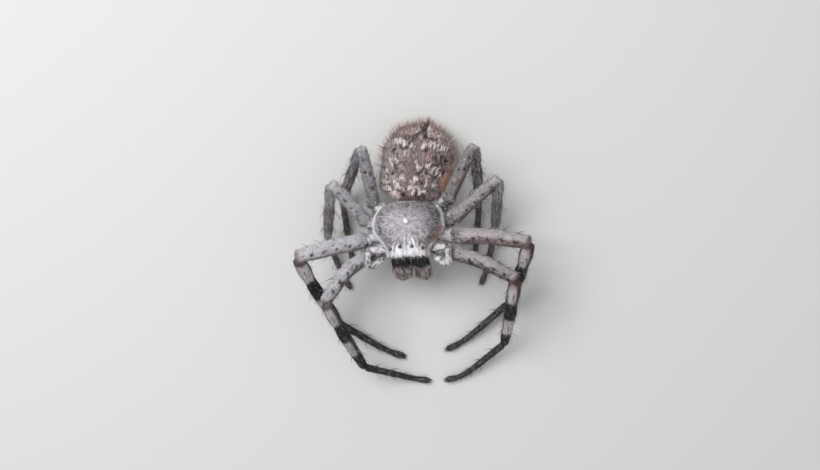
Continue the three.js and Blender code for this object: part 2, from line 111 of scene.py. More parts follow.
def ease(value, low, high):
    """0 below low, 1 above high, and 3t² - 2t³ between, where t is the share of the way."""
    t = np.clip((value - low) / (high - low), 0, 1)
    return t * t * (3 - 2 * t)


def bump(value, middle, width):
    """A smooth hill: 1 at the middle, falling as e to the minus square of the distance over the width."""
    return np.exp(-(((value - middle) / width) ** 2))


def profile(stops, share):
    """A value that eases from stop to stop, each given as [share, value]."""
    at, value = np.array(stops, float).T
    k = np.clip(np.searchsorted(at, share) - 1, 0, len(at) - 2)
    return value[k] + (value[k + 1] - value[k]) * ease(share, at[k], at[k + 1])


def scaled(size, stops):
    """The stops of a profile, each value times one size."""
    return [[share, size * value] for share, value in stops]


print("halfway between stops at 1 and 3:", profile([[0, 1], [1, 3]], np.array(0.5)))

# %% [markdown]
# ## Blotches
# Real hair is never one colour: it lies in small ragged patches. A noise texture would give them in a
# material, but here the same blotches have to reach the skin and the roots of the hairs, so they are a
# function of place.

# %% Blotches
WHOLE = 0xFFFFFFFF
STEPS = 0xFFFF


def scramble(cell, seed):
    """A whole number up to STEPS that looks random, but is always the same for a cell: the cell's three
    numbers times large primes, joined bit by bit, then shifted and multiplied twice more."""
    x, y, z = cell.T
    code = (x * 73856093 ^ y * 19349663 ^ z * 83492791 ^ (seed + 7) * 2654435761) & WHOLE
    for shift, factor in ((15, 2246822519), (13, 3266489917)):
        code = (code ^ (code >> shift)) * factor & WHOLE
    return (code >> 8) & STEPS


def mottle(point, size, seed=0):
    """Soft random blotches of about one size, 0 to 1: random values on the corners of a lattice, eased
    between."""
    cell = np.floor(point / size).astype(np.int64)
    within_cell = point / size - cell
    within_cell = within_cell * within_cell * (3 - 2 * within_cell)
    total = np.zeros(len(point))
    for corner in itertools.product((0, 1), repeat=3):
        weight = np.where(corner, within_cell, 1 - within_cell).prod(axis=1)
        total += weight * scramble(cell + corner, seed) / STEPS
    return total


print("blotches along a line:", mottle(np.arange(12.0).reshape(4, 3) * 0.4, 1.0).round(2))

# %% [markdown]
# ## Lines
# Every part is carried along a line: a limb along a gentle curve through its joints, a jaw along a bow. A
# line could be a Blender curve, but a plain array of points lets one formula place the skin and every hair
# on it.

# %% A line measured by its own length


class Line:
    """A line of small steps. A share of its length gives a point and the direction there, read between
    steps."""

    def __init__(self, points):
        steps = np.linalg.norm(np.diff(points, axis=0), axis=1)
        self.points = points
        self.length = steps.sum()
        self.share = np.append(0, np.cumsum(steps)) / self.length
        self.aims = unit(np.gradient(points, axis=0))

    def between(self, rows, share):
        """Rows kept at the line's own shares, read at others in proportion to the distance from both
        sides."""
        return np.stack([np.interp(share, self.share, column) for column in rows.T], axis=-1)

    def at(self, share):
        """The points at some shares."""
        return self.between(self.points, share)

    def aim(self, share):
        """The directions at some shares."""
        return unit(self.between(self.aims, share))


def smooth(*points, steps=48):
    """A smooth line through a few points. Each stretch is the cubic whose end slopes are worked out from
    the points on both sides, weighed by the root of the distances between them."""
    p = np.array(points, float)
    p = np.vstack([2 * p[0] - p[1], p, 2 * p[-1] - p[-2]])
    gap = np.sqrt(np.linalg.norm(np.diff(p, axis=0), axis=1))
    t = np.linspace(0, 1, steps, endpoint=False)[:, None]
    rows = []
    for k in range(1, len(p) - 2):
        a, b, c = gap[k - 1 : k + 2]
        step = p[k + 1] - p[k]
        leave = b * ((p[k] - p[k - 1]) / a - (p[k + 1] - p[k - 1]) / (a + b)) + step
        meet = b * ((p[k + 2] - p[k + 1]) / c - (p[k + 2] - p[k]) / (b + c)) + step
        second, third = 3 * step - 2 * leave - meet, leave + meet - 2 * step
        rows.append(p[k] + leave * t + second * t**2 + third * t**3)
    return Line(np.vstack([*rows, p[-2]]))


def bow(start, pull, end, steps=48):
    """A line from start to end that bends towards pull: each point weighs the three by (1-t)², 2t(1-t) and
    t²."""
    t = np.linspace(0, 1, steps)[:, None]
    return Line((1 - t) ** 2 * np.array(start) + 2 * t * (1 - t) * np.array(pull) + t**2 * np.array(end))


print("a line through a bend is", round(smooth([0, 0, 0], [1, 1, 0], [2, 0, 0]).length, 2), "long")

# %% [markdown]
# ## A form: a skin carried along a line
# Coxa, thigh, jaw and abdomen differ only in their line and in the section carried along it, so one class
# makes them all. It gives the skin's point for any share along and any turn round, which serves twice: a
# regular grid of such pairs is the mesh, and random pairs are the roots of the hairs. The skin lies inside
# the solids by the depth of the coat, so that the hair brings the outline back out to them.

# %% The form
COAT_DEPTH = 0.12
PROBES = 24


def section(wide, high=None, low=None, square=1.0):
    """A section from its half width, height above and below, and squareness: each a number or a list of
    stops."""
    parts = [wide, wide if high is None else high]
    parts += [parts[1] if low is None else low, square]
    return lambda share: [profile(part, share) if isinstance(part, list) else part for part in parts]


class Form:
    """A closed skin on a line. At a share along and a turn round (0 underneath, a half on top), a point is
    the line's own point, plus the sine of the turn times the section's half width across, minus its cosine
    times the half height above. The section shrinks to a quarter ellipse at each end, and the relief is
    added outwards."""

    def __init__(self, name, line, section, ends, *, up=UP, place=(np.eye(3), np.zeros(3)), depth=COAT_DEPTH):
        self.name, self.line, self.section, self.ends = name, line, section, ends
        self.up = np.array(up, float)
        self.turned, self.origin = place
        self.depth = depth
        self.relief = self.paint = self.lie = None
        grid = np.meshgrid(np.linspace(0.01, 0.99, PROBES), np.arange(PROBES) / PROBES)
        points = self.at(*(g.ravel() for g in grid))
        self.box = points.min(axis=0), points.max(axis=0)

    def swell(self, share):
        """The size of the section at a share, 1 but for the ends, where it is the root of 1 - lack², and
        lack goes from 0 to 1 at the pole."""
        lack = np.maximum(np.maximum(1 - share / self.ends[0], 1 - (1 - share) / self.ends[1]), 0)
        return 1 - lack**2

    def bare(self, share, turn):
        """The points without relief, and the directions out from the line."""
        share, turn = np.broadcast_arrays(share, turn)
        start = self.depth / self.line.length
        inset = start + share * (1 - 2 * start)
        along = self.line.aim(inset)
        across = unit(np.cross(along, self.up))  # the side that is a quarter turn on from the underside
        above = np.cross(across, along)
        wide, high, low, square = (np.broadcast_to(x, share.shape) for x in self.section(inset))
        size = np.sqrt(np.maximum(0, self.swell(share)))
        s, c = np.sin(2 * np.pi * turn), -np.cos(2 * np.pi * turn)
        x = np.sign(s) * np.abs(s) ** square * (wide - self.depth) * size
        y = np.sign(c) * np.abs(c) ** square * (np.where(c > 0, high, low) - self.depth) * size
        out = across * x[..., None] + above * y[..., None]
        return self.line.at(inset) + out, unit(out)

    def local(self, share, turn):
        """The points with relief, in the form's own frame."""
        point, out = self.bare(share, turn)
        if self.relief:
            point = point + out * self.relief(point, share, turn)[..., None]
        return point

    def at(self, share, turn):
        """The points with relief, turned and moved into the scene."""
        return self.local(share, turn) @ self.turned.T + self.origin

    def feel(self, share, turn, step=4e-4):
        """Points with their outward normal, the direction along the form and the area that a step covers,
        from the cross product of a small step along and a small step round."""
        share = np.clip(share, 2 * step, 1 - 2 * step)
        along = self.at(share + step, turn) - self.at(share - step, turn)
        around = self.at(share, turn + step) - self.at(share, turn - step)
        cross = np.cross(along, around)
        return SimpleNamespace(
            share=share, turn=turn, point=self.at(share, turn), local=self.local(share, turn),
            normal=unit(cross), along=unit(along), area=np.linalg.norm(cross, axis=-1) / (2 * step) ** 2)


print("coat depth", COAT_DEPTH, "mm")

# %% [markdown]
# ## From a form to a mesh
# Quads in rings follow the form, and a fan of triangles closes each pole, so that the mesh holds water and
# can be joined to its neighbours. The whole mesh is made as arrays and handed over at once, which takes
# milliseconds where a loop over points would take minutes.

# %% Meshes
CAPS = 5


def rings_of(count, ends):
    """Shares of the rings between the two poles: close together on the round ends, even between them."""
    lag = 1 - np.cos(np.pi / 2 * np.arange(1, CAPS) / CAPS)
    return np.concatenate([ends[0] * lag, np.linspace(ends[0], 1 - ends[1], count), 1 - ends[1] * lag[::-1]])


def grid_of(form, pitch):
    """The form as a closed mesh with faces of about one pitch: rows of quads between rings, and a fan of
    triangles at each pole. Returns the points' shares and turns, and the faces as index arrays."""
    girth = np.linalg.norm(np.diff(form.at(np.full(33, 0.5), np.linspace(0, 1, 33)), axis=0), axis=1).sum()
    sides = max(12, int(girth / pitch))
    share = rings_of(max(6, int(form.line.length / pitch)), form.ends)
    rings = len(share)
    s, t = (g.ravel() for g in np.meshgrid(share, np.arange(sides) / sides, indexing="ij"))
    s, t = np.append(s, [0, 1]), np.append(t, [0, 0])
    j, i = (g.ravel() for g in np.meshgrid(np.arange(rings - 1), np.arange(sides), indexing="ij"))
    n = (i + 1) % sides
    quads = np.stack([j * sides + i, (j + 1) * sides + i, (j + 1) * sides + n, j * sides + n], axis=1)
    i, n = np.arange(sides), (np.arange(sides) + 1) % sides
    first, last, end = rings * sides, rings * sides + 1, (rings - 1) * sides
    fans = np.vstack([np.stack([np.full(sides, first), i, n], axis=1),
                      np.stack([np.full(sides, last), end + n, end + i], axis=1)])
    return s, t, [quads, fans]


def put(name, points, faces, slot=None, material=None, **attributes):
    """Makes a mesh object from points in millimetres and lists of face index arrays, and rides it on the
    body. Attributes are stored on the points, as numbers or as colours by their shape."""
    mesh = bpy.data.meshes.new(name)
    loops = np.concatenate([f.ravel() for f in faces]).astype(np.int32)
    sizes = np.concatenate([np.full(len(f), f.shape[1]) for f in faces])
    mesh.vertices.add(len(points))
    mesh.vertices.foreach_set("co", (points * MM).astype(np.float32).ravel())
    mesh.loops.add(len(loops))
    mesh.loops.foreach_set("vertex_index", loops)
    mesh.polygons.add(len(sizes))
    mesh.polygons.foreach_set("loop_start", np.append(0, np.cumsum(sizes)[:-1]).astype(np.int32))
    mesh.update(calc_edges=True)
    for key, values in attributes.items():
        if values.ndim == 1:
            layer, field = mesh.attributes.new(key, "FLOAT", "POINT"), "value"
        else:
            layer, field = mesh.attributes.new(key, "FLOAT_COLOR", "POINT"), "color"
            values = np.column_stack([values, np.ones(len(values))])
        layer.data.foreach_set(field, values.astype(np.float32).ravel())
    mesh.shade_smooth()
    piece = bpy.data.objects.new(name, mesh)
    bpy.context.scene.collection.objects.link(piece)
    if material:
        mesh.materials.append(material)
    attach(piece, "root")
    return piece


print("rings of a form with round ends:", rings_of(4, (0.1, 0.2)).round(2))

# %% [markdown]
# ## Where the body lies
# The front part of the body is pitched head up and leans a little to one side. It is covered by a shield,
# broad and low, with a narrow head. The solids were moved so that the origin lies under the middle of the
# outline, so the frame's own eye tells by how much: the middle of its ball is known in the body's frame.

# %% The shield and the pose of the body
BODY_HEIGHT = 8.8
BODY_TURN = about("x", -20) @ about("y", -11)
CARAPACE_LENGTH = 9.6
CARAPACE_FRONT = -5.15
CARAPACE_REAR = CARAPACE_FRONT + CARAPACE_LENGTH
CARAPACE_WIDTH = 11.5
CARAPACE_TOP = 2.5
RIM_HEIGHT = 0.25
HEAD_WIDTH = 6.9
REAR_WIDTH = 8.8
CARAPACE_LINE = smooth([0, CARAPACE_FRONT, RIM_HEIGHT], [0, CARAPACE_REAR, RIM_HEIGHT])
CARAPACE_ENDS = (0.05, 0.09)
CARAPACE_WIDTHS = [[0, HEAD_WIDTH * 0.98], [0.12, HEAD_WIDTH], [0.56, CARAPACE_WIDTH],
                   [0.72, CARAPACE_WIDTH * 0.97], [1, REAR_WIDTH]]
CARAPACE_HEIGHTS = [[0, 0.78], [0.22, 0.98], [0.4, 1], [0.62, 0.97], [1, 0.5]]
CARAPACE_SQUARENESS = [[0, 0.7], [0.3, 0.8], [1, 0.85]]
EYES = {  # share along the shield and degrees from its middle line
    "front_middle": (0.006, 13), "front_side": (0.012, 46),
    "rear_middle": (0.17, 10.5), "rear_side": (0.15, 43)}


def carapace_section(share):
    """Half width, height above and below the rim's level, and squareness of the shield at a share of its
    length."""
    return (profile(CARAPACE_WIDTHS, share) / 2, CARAPACE_TOP * profile(CARAPACE_HEIGHTS, share), RIM_HEIGHT,
            profile(CARAPACE_SQUARENESS, share))


def ball_of(node):
    """The middle and the radius, in millimetres, of a node that is a ball, from its box."""
    low, high = (np.array(corner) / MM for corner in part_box(node))
    return (low + high) / 2, (high - low).max() / 2


SHIELD = Form("shield", CARAPACE_LINE, carapace_section, CARAPACE_ENDS, depth=0)
EYE_SPOTS = {(row, side): SHIELD.at(np.array(share), np.array(0.5 - side * degrees / 360))
             for row, (share, degrees) in EYES.items() for side in (1, -1)}
SHIFT = ball_of("eye_rear_middle_left")[0] - (EYE_SPOTS["rear_middle", 1] @ BODY_TURN.T + [0, 0, BODY_HEIGHT])
SHIFT[2] = 0
BODY = BODY_TURN, np.array([0, 0, BODY_HEIGHT]) + SHIFT
print("origin moved by", SHIFT.round(3))

# %% [markdown]
# ## The abdomen's place
# The abdomen hangs from a thin stalk, turned aside from the body, and rests its underside on the floor.
# Rather than setting its height by hand, its lowest point is found first, and then it is put a little below
# the floor, so that it presses flat there.

# %% The pose of the abdomen


def bodily(*point):
    """A point of the body's own frame, in millimetres, where it lies in the scene."""
    return BODY[0] @ np.array(point, float) + BODY[1]


ABDOMEN_LENGTH = 13.6
ABDOMEN_WIDTH = 12.1
ABDOMEN_HEIGHT = 8.4
ABDOMEN_FLAT = 0.15
ABDOMEN_ENDS = (0.1, 0.32)
ABDOMEN_TURN = about("z", -16.5) @ about("x", -10) @ about("y", -6)
ABDOMEN_SECTION = section(
    scaled(ABDOMEN_WIDTH / 2, [[0, 0.78], [0.32, 0.92], [0.55, 1], [0.8, 0.88], [1, 0.62]]),
    scaled(ABDOMEN_HEIGHT / 2, [[0, 0.9], [0.35, 1], [0.65, 1], [1, 0.7]]),
    scaled(ABDOMEN_HEIGHT / 2, [[0, 0.75], [0.4, 0.96], [0.7, 1], [1, 0.7]]))
ABDOMEN_LINE = smooth([0, 0, 0], [0, ABDOMEN_LENGTH, 0])
start = bodily(0, CARAPACE_REAR, 0) + [-0.5, -0.2, 0]
probe = Form("probe", ABDOMEN_LINE, ABDOMEN_SECTION, ABDOMEN_ENDS, place=(ABDOMEN_TURN, start), depth=0)
lowest = probe.at(*(g.ravel() for g in np.meshgrid(np.linspace(0, 1, 60), np.linspace(0, 1, 90))))[:, 2].min()
ABDOMEN = ABDOMEN_TURN, start - [0, 0, lowest + ABDOMEN_FLAT]
print("abdomen starts at", ABDOMEN[1].round(2))

# %% [markdown]
# ## The flesh of the body
# Each part is built as the solids have it: the line that it is carried along, its section and its round
# ends. They are made as separate closed forms, because each has its own lie of hair and its own markings,
# and are joined into one skin later.

# %% Shield, breastplate, abdomen and spinnerets
FLESH = []
HANDS = {1: "left", -1: "right"}


def flesh(*arguments, **settings):
    """A form that is also kept in the list of all flesh."""
    form = Form(*arguments, **settings)
    FLESH.append(form)
    return form


carapace = flesh("carapace", CARAPACE_LINE, carapace_section, CARAPACE_ENDS, place=BODY)
flesh("sternum", smooth([0, -3.7, -0.4], [0, 3.7, -0.4]),
      section(scaled(2.6, [[0, 0.72], [0.35, 1], [1, 0.6]]), 0.9, 1.8, 0.7), (0.12, 0.2), place=BODY)
abdomen = flesh("abdomen", ABDOMEN_LINE, ABDOMEN_SECTION, ABDOMEN_ENDS, place=ABDOMEN)
stalk_end = ABDOMEN[0] @ [0, 1.2, 0.4] + ABDOMEN[1]
flesh("pedicel", smooth(bodily(0, 3.2, -0.6), stalk_end), section(0.7, 0.6), (0.15, 0.15))

MOUND = np.array([0, ABDOMEN_LENGTH * 0.955, -1.0])
MOUND_REACH = np.array([0, 0.95, 0])
SPINNERETS = [(0.45, 0.0, 0.36, 1.3), (0.3, 0.5, 0.3, 1.2)]  # half gap, place behind, radius and length
flesh("spinneret_mound", smooth(MOUND - MOUND_REACH, MOUND + MOUND_REACH), section(0.95), (0.5, 0.5),
      place=ABDOMEN)
for side, (apart, back, radius, length) in itertools.product(HANDS, SPINNERETS):
    root = MOUND + [side * apart, back, 0]
    tip = root + np.array([side * apart * 0.5, 0.85 * length, -0.5 * length])
    flesh(f"spinneret_{apart}_{side}", smooth(root, tip), section([[0, radius], [1, radius * 0.65]]),
          (0.2, 0.3), place=ABDOMEN)
print(len(FLESH), "forms of the trunk")

# %% [markdown]
# ## Mouth and palps
# Two stout jaws hang from the front of the shield, with a lip and two mouth plates behind them. Beside them
# the palps, a pair of short feelers, are folded in front of the face.

# %% Jaws, mouth plates and palps
JAW_ROOT = np.array([1.6, -4.35, -0.1])
JAW_LENGTH = 4.9
JAW_SECTION = section(scaled(1.575, [[0, 0.9], [0.4, 1], [1, 0.92]]),
                      scaled(1.15, [[0, 0.9], [0.35, 1], [1, 0.75]]), square=0.85)
PALP_JOINTS = np.array([
    [3.0, -3.1, -1.0], [6.2, -3.5, 1.15], [6.5, -4.7, 1.1], [6.4, -6.2, 0.2], [4.0, -4.6, -0.35]])
PALP_PARTS = [  # name, joints and radii
    ("femur", slice(0, 2), [[0, 0.76], [0.5, 1], [1, 0.85]]),
    ("tibia", slice(1, 4), [[0, 0.85], [0.25, 0.94], [0.42, 0.8], [0.75, 0.92], [1, 0.76]]),
    ("tarsus", slice(3, 5), [[0, 0.72], [0.35, 0.92], [0.75, 0.78], [1, 0.45]])]
flesh("labium", smooth([0, -3.1, -1.4], [0, -4.5, -2.35]), section(0.65, 0.35, square=0.8), (0.2, 0.35),
      place=BODY)
JAW_ENDS, JAWS, PALPS = {}, [], []
for side, hand in HANDS.items():
    flip = np.array([side, 1, 1])
    root = JAW_ROOT * flip
    end = JAW_ENDS[side] = root + unit(np.array([0, -0.5, -0.86])) * JAW_LENGTH
    JAWS.append(flesh("chelicera_" + hand, bow(root, (root + end) / 2 + [0, -0.35, 0], end), JAW_SECTION,
                      (0.12, 0.14), up=[0, 1, 0], place=BODY))
    flesh("maxilla_" + hand, smooth(flip * [2.1, -2.7, -1.25], flip * [1.15, -4.75, -3.0]),
          section(0.62, [[0, 0.6], [1, 0.48]]), (0.2, 0.25), place=BODY)
    for part, joints, radii in PALP_PARTS:
        PALPS.append(flesh(f"palp_{part}_{hand}", smooth(*(PALP_JOINTS * flip)[joints]),
                           section(scaled(0.66, radii)), (0.1, 0.12), place=BODY))
print("jaws end at", [end.round(2).tolist() for end in JAW_ENDS.values()])

# %% [markdown]
# ## Legs
# A huntsman's legs are turned forwards like a crab's, so each is given by the turn and the rise of its
# segments, as a modeller would read them off the animal. The front two pairs curl forward into a ring on
# the floor. Joints show as small waists in the sections, where a leg's hard tubes meet in soft skin.

# %% The legs
SEGMENTS = {  # lengths of femur, patella, tibia, metatarsus and tarsus, then the radii of thigh and calf
    1: (11.0, 5.2, 11.6, 9.6, 2.8, 1.25, 1.06), 2: (12.4, 5.3, 11.8, 10.6, 3.0, 1.38, 1.1),
    3: (9.9, 4.2, 8.6, 7.4, 2.4, 1.15, 0.98), 4: (10.6, 3.9, 8.3, 8.6, 2.6, 1.12, 0.97)}
HIPS = {  # where each coxa starts and ends in the body's frame
    1: ([2.5, -2.4, -0.9], [6.8, -3.95, -0.9]), 2: ([2.8, -0.85, -0.9], [7.3, -1.35, -0.9]),
    3: ([2.8, 0.9, -0.9], [7.1, 1.5, -0.9]), 4: ([2.3, 2.6, -0.9], [6.0, 4.3, -0.9])}
LEGS = {  # turn, rise and bow of the femur, turn and rise of the shin, turns of metatarsus and tarsus
    (1, 1): ((69, 18, 0.5), (-3, -40), (-50, -74)), (2, 1): ((88, 25, 0.45), (-9, -46), (-48, -62)),
    (3, 1): ((134, 18, 0.15), (2, -44), (-10, -20)), (4, 1): ((156, 19, 0.1), (10, -43), (-3, -10)),
    (1, -1): ((45, 33, 0.9), (-24, -34), (-71, -80)), (2, -1): ((80, 31, 0.15), (-23, -38), (-58, -70)),
    (3, -1): ((141, 30, 0.15), (8, -41), (-20, -30)), (4, -1): ((169, 23, 0.1), (22, -39), (-8, -14))}
COXA_RADIUS = 1.15
COXA_RADII = [[0, 0.66], [0.55, 1.02], [0.74, 0.9], [0.86, 1], [1, 0.86]]
FEMUR_RADII = [[0, 0.92], [0.28, 1], [0.62, 0.98], [1, 0.84]]
SHIN_RADII = [[0, 0.94], [0.16, 1.08], [0.3, 0.88], [0.42, 1], [0.75, 0.88], [1, 0.72]]
FOOT_RADII = [[0, 0.64], [0.35, 0.6], [0.72, 0.52], [0.79, 0.48], [0.9, 0.58], [1, 0.55]]
JOINT_ENDS = (0.05, 0.05)
OVERLAP = 0.2
ANKLE_HEIGHT = 0.72


def leg_of(pair, side):
    """A leg's four forms. Each joint is the one before plus a heading times a segment's length, except that
    the metatarsus descends by the angle whose sine brings it down to the ankle's height."""
    (turn, rise, bend), shin, feet = LEGS[pair, side]
    femur_length, patella, tibia, metatarsus, tarsus, thigh, calf = SEGMENTS[pair]
    name = f"leg_{pair}_{HANDS[side]}"
    root, tip = (np.array(point) * [side, 1, 1] for point in HIPS[pair])
    hip, aim = bodily(*tip), heading(side, turn, rise)
    knee = hip + aim * femur_length
    middle = hip * 0.55 + knee * 0.45 + UP * 0.3 + heading(side, turn + 90, 0) * bend
    cap = knee + heading(side, shin[0], shin[1] + 9) * patella
    shank = heading(side, shin[0], shin[1] - 4)
    shin_end = cap + shank * tibia
    descent = -math.degrees(math.asin((shin_end[2] - ANKLE_HEIGHT) / metatarsus))
    ankle = shin_end + heading(side, feet[0], descent) * metatarsus
    toe = ankle + heading(side, feet[1], 0) * tarsus
    toe[2] = calf * FOOT_RADII[-1][1] - 0.09
    return SimpleNamespace(
        name=name, pair=pair, side=side,
        coxa=flesh(name + "_coxa", smooth(root, tip), section(scaled(COXA_RADIUS, COXA_RADII)), (0.1, 0.14),
                   place=BODY),
        femur=flesh(name + "_femur", smooth(hip - aim * OVERLAP, middle, knee + aim * 0.35),
                    section(scaled(thigh, FEMUR_RADII)), JOINT_ENDS),
        shin=flesh(name + "_shin", smooth(knee, cap, shin_end),
                   section(scaled(calf, SHIN_RADII)), JOINT_ENDS),
        foot=flesh(name + "_foot", smooth(shin_end - shank * OVERLAP, ankle, toe),
                   section(scaled(calf, FOOT_RADII)), JOINT_ENDS))


legs = [leg_of(pair, side) for pair, side in LEGS]
print(len(FLESH), "forms of flesh, femurs of", [round(leg.femur.line.length, 1) for leg in legs], "mm")

# %% [markdown]
# ## Folds and grooves
# The shield is not smooth: a pit in its middle, furrows that part the head from the chest and run out to
# the legs, a rounded rim and a small mound under each eye. They could be a bump in the material, but as
# heights added to the form they bend the mesh, and the hairs that stand on it follow.

# %% Relief of the shield and the abdomen
FOVEA = np.array([-0.09, 0.71])
FURROWS = (1.05, 1.6, 2.15, 2.7)  # angles from forward round the pit
HEAD_GROOVE = [(0.5, -0.3), (2.2, -2.2), (3.2, -3.4)]
SIGILLA = [(-2.14, 7.99, 0.3), (1.18, 8.33, 0.3), (-1.59, 4.18, 0.2), (0.82, 4.39, 0.2)]  # place and radius


def along_path(x, y, points):
    """How far each place is from a path of straight stretches: the least distance to any stretch."""
    best = np.full(len(x), 1e9)
    for (ax, ay), (bx, by) in zip(points, points[1:]):
        dx, dy = bx - ax, by - ay
        t = np.clip(((x - ax) * dx + (y - ay) * dy) / (dx * dx + dy * dy), 0, 1)
        best = np.minimum(best, np.hypot(x - ax - t * dx, y - ay - t * dy))
    return best


def carapace_relief(point, share, turn):
    """Hills and furrows, each a height times e to the minus square of the distance over its width."""
    x, y = point.T[:2]
    away, angle = np.hypot(x, y - FOVEA[1]), np.arctan2(np.abs(x), -(y - FOVEA[1]))
    height = -0.22 * bump(x, 0, 0.16) * bump(y, 1.0, 0.6)
    height -= 0.16 * bump(along_path(np.abs(x), y, HEAD_GROOVE), 0, 0.32)
    for middle in FURROWS:
        height -= 0.09 * bump(angle, middle, 0.11) * ease(away, 0.7, 1.5) * (1 - ease(away, 3.6, 4.8))
    rim = np.abs(np.abs(turn - 0.5) - 0.25)
    height += 0.09 * bump(rim, 0, 0.025) * ease(share, 0.2, 0.35)
    for spot in EYE_SPOTS.values():
        height += 0.1 * bump(np.linalg.norm(point - spot, axis=1), 0.38, 0.2)
    return height


def abdomen_relief(point, share, turn):
    """Four dimples where muscles pull the back in, and a low swell between them."""
    x, y, z = point.T
    height = 0.05 * (mottle(point, 1.6, 3) - 0.5)
    for cx, cy, r in SIGILLA:
        height -= 0.14 * bump(np.hypot(x - cx, y - cy), 0, 1.3 * r) * (z > 0)
    return height


carapace.relief, abdomen.relief = carapace_relief, abdomen_relief
fold = carapace_relief(np.array([[0, 1.0, 2.5]]), 0.6, np.array([0.5]))
print("deepest fold of the shield:", fold.round(2), "mm")

# %% [markdown]
# ## Markings
# Skin and hair take their colour from the same functions of place, so the pattern holds however the hairs are
# combed. A marking is a list of layers, as a painter lays them: each is a colour and how much of it covers
# each place. Colours are linear, judged for each kind of hair; random blotches keep the edges ragged.

# %% Colours of hair and how they are laid
CREAM, WHITE, ASH, SMOKE = (0.8, 0.7, 0.67), (0.88, 0.86, 0.88), (0.47, 0.445, 0.475), (0.25, 0.23, 0.24)
MAUVE, RUST = (0.205, 0.143, 0.147), (0.78, 0.42, 0.28)
OLIVE, SOOT = (0.075, 0.06, 0.052), (0.018, 0.014, 0.015)
SNOW, PINK, UMBER = (0.95, 0.94, 0.96), (0.42, 0.25, 0.25), (0.045, 0.033, 0.032)


def mix(under, over, share):
    """Two colours by share: one minus the share of the first, and the share of the second."""
    share = np.asarray(share)[..., None]
    return under * (1 - share) + np.array(over) * share


def even(colour, like):
    """One colour for every place in an array."""
    return np.tile(np.array(colour), (len(like), 1))


def layered(ground, *layers):
    """The ground with layers laid over it in order, each a colour and its share."""
    for colour, share in layers:
        ground = mix(ground, colour, share)
    return ground


def dabs(x, y, spots, soft=0.35):
    """How much a place belongs to any of some round dabs, each given by its middle and radius."""
    best = np.zeros(len(x))
    for cx, cy, r in spots:
        best = np.maximum(best, 1 - ease(np.hypot(x - cx, y - cy) / r, 1 - soft, 1 + soft))
    return best


def grown(spots, factor):
    """The same dabs with their radii times a factor."""
    return [(cx, cy, factor * r) for cx, cy, r in spots]


print("cream over soot, half and half:", mix(np.array(SOOT), CREAM, 0.5).round(3))

# %% [markdown]
# ## The abdomen's markings
# A plain mauve band runs down the middle of the back. Beside it lie cream tufts with black round them, a
# row of them across the back, and at the rear a dark fork. The larger tufts are placed one by one, by their
# middle and radius in the abdomen's own frame; the small streaks between them are blotches. A painted
# picture could hold them too, but only on the skin, and the hairs would need their own.

# %% Tufts of the abdomen
CREAM_DABS = [
    (-3.89, 8.85, 0.5), (-3.29, 8.74, 0.4), (-2.63, 8.59, 0.5), (-1.79, 7.00, 0.35), (1.58, 9.58, 0.55),
    (2.19, 9.51, 0.5), (2.80, 9.39, 0.45), (3.39, 9.57, 0.5), (4.13, 9.81, 0.45), (0.60, 9.13, 0.35),
    (0.52, 8.72, 0.3), (-1.33, 8.63, 0.4), (-3.49, 4.86, 0.42), (-3.12, 5.53, 0.45), (-3.92, 5.59, 0.35),
    (2.27, 6.11, 0.42), (2.80, 5.53, 0.42), (3.28, 5.96, 0.4), (3.91, 5.38, 0.42), (0.70, 5.22, 0.4),
    (0.48, 5.81, 0.25), (-1.39, 3.31, 0.4), (-1.77, 2.79, 0.3), (0.70, 3.52, 0.42), (0.43, 3.00, 0.3),
    (-1.92, 1.89, 0.4), (-2.44, 2.26, 0.3), (-1.50, 1.51, 0.35), (-2.06, 0.67, 0.5), (-1.25, 0.52, 0.4),
    (0.72, 2.22, 0.45), (0.08, 1.89, 0.35), (1.39, 1.85, 0.4), (2.10, 1.64, 0.45), (0.92, 1.23, 0.35),
    (2.58, 2.11, 0.3), (0.03, 12.31, 0.3), (0.45, 12.03, 0.35), (0.60, 11.04, 0.4), (-1.24, 11.74, 0.4),
    (-2.02, 11.30, 0.35), (2.29, 11.42, 0.35), (1.75, 12.00, 0.3), (-1.30, 10.94, 0.3), (0.24, 6.50, 0.2),
    (-0.04, 6.09, 0.2), (-4.13, 3.78, 0.3), (-3.88, 2.89, 0.3), (-3.23, 1.92, 0.35), (-2.88, 1.14, 0.35),
    (-3.59, 1.30, 0.3), (3.61, 3.47, 0.3), (3.25, 2.75, 0.25)]
DARK_DABS = [
    (3.56, 2.51, 0.4), (2.86, 2.52, 0.35), (1.34, 1.40, 0.35), (2.67, 1.31, 0.4), (3.16, 4.34, 0.45),
    (3.65, 4.67, 0.35), (2.14, 4.79, 0.3), (2.49, 3.81, 0.35), (3.13, 6.85, 0.3), (4.01, 7.20, 0.35),
    (4.48, 7.92, 0.4), (3.67, 8.08, 0.3), (-2.65, 4.36, 0.3), (-3.11, 3.53, 0.3), (-3.07, 6.54, 0.3),
    (-3.91, 7.20, 0.3), (4.58, 5.92, 0.35), (-0.45, 0.65, 0.35), (-2.94, 7.85, 0.3), (2.79, 7.63, 0.4),
    (1.12, 5.04, 0.25), (1.82, 3.18, 0.3), (1.23, 10.56, 0.3), (2.23, 10.52, 0.3)]
PINK_DABS = [(1.75, 7.2, 0.5), (1.2, 12.8, 0.6), (4.9, 10.5, 0.7)]
CREAM_ARC = [(2.3, 4.1), (2.6, 3.3), (2.4, 2.7)]
FORK_STEM = [(-0.1, 13.4), (-0.34, 12.0), (0.35, 10.4)]
FORK_ARMS = [(-0.3, 11.8), (-0.7, 11.05), (-1.86, 8.54)], [(-0.7, 11.0), (-1.87, 9.95), (-3.0, 9.9)]
BARK, BARK_GREY, REAR_PINK = (0.25, 0.18, 0.175), (0.31, 0.27, 0.275), (0.62, 0.45, 0.42)
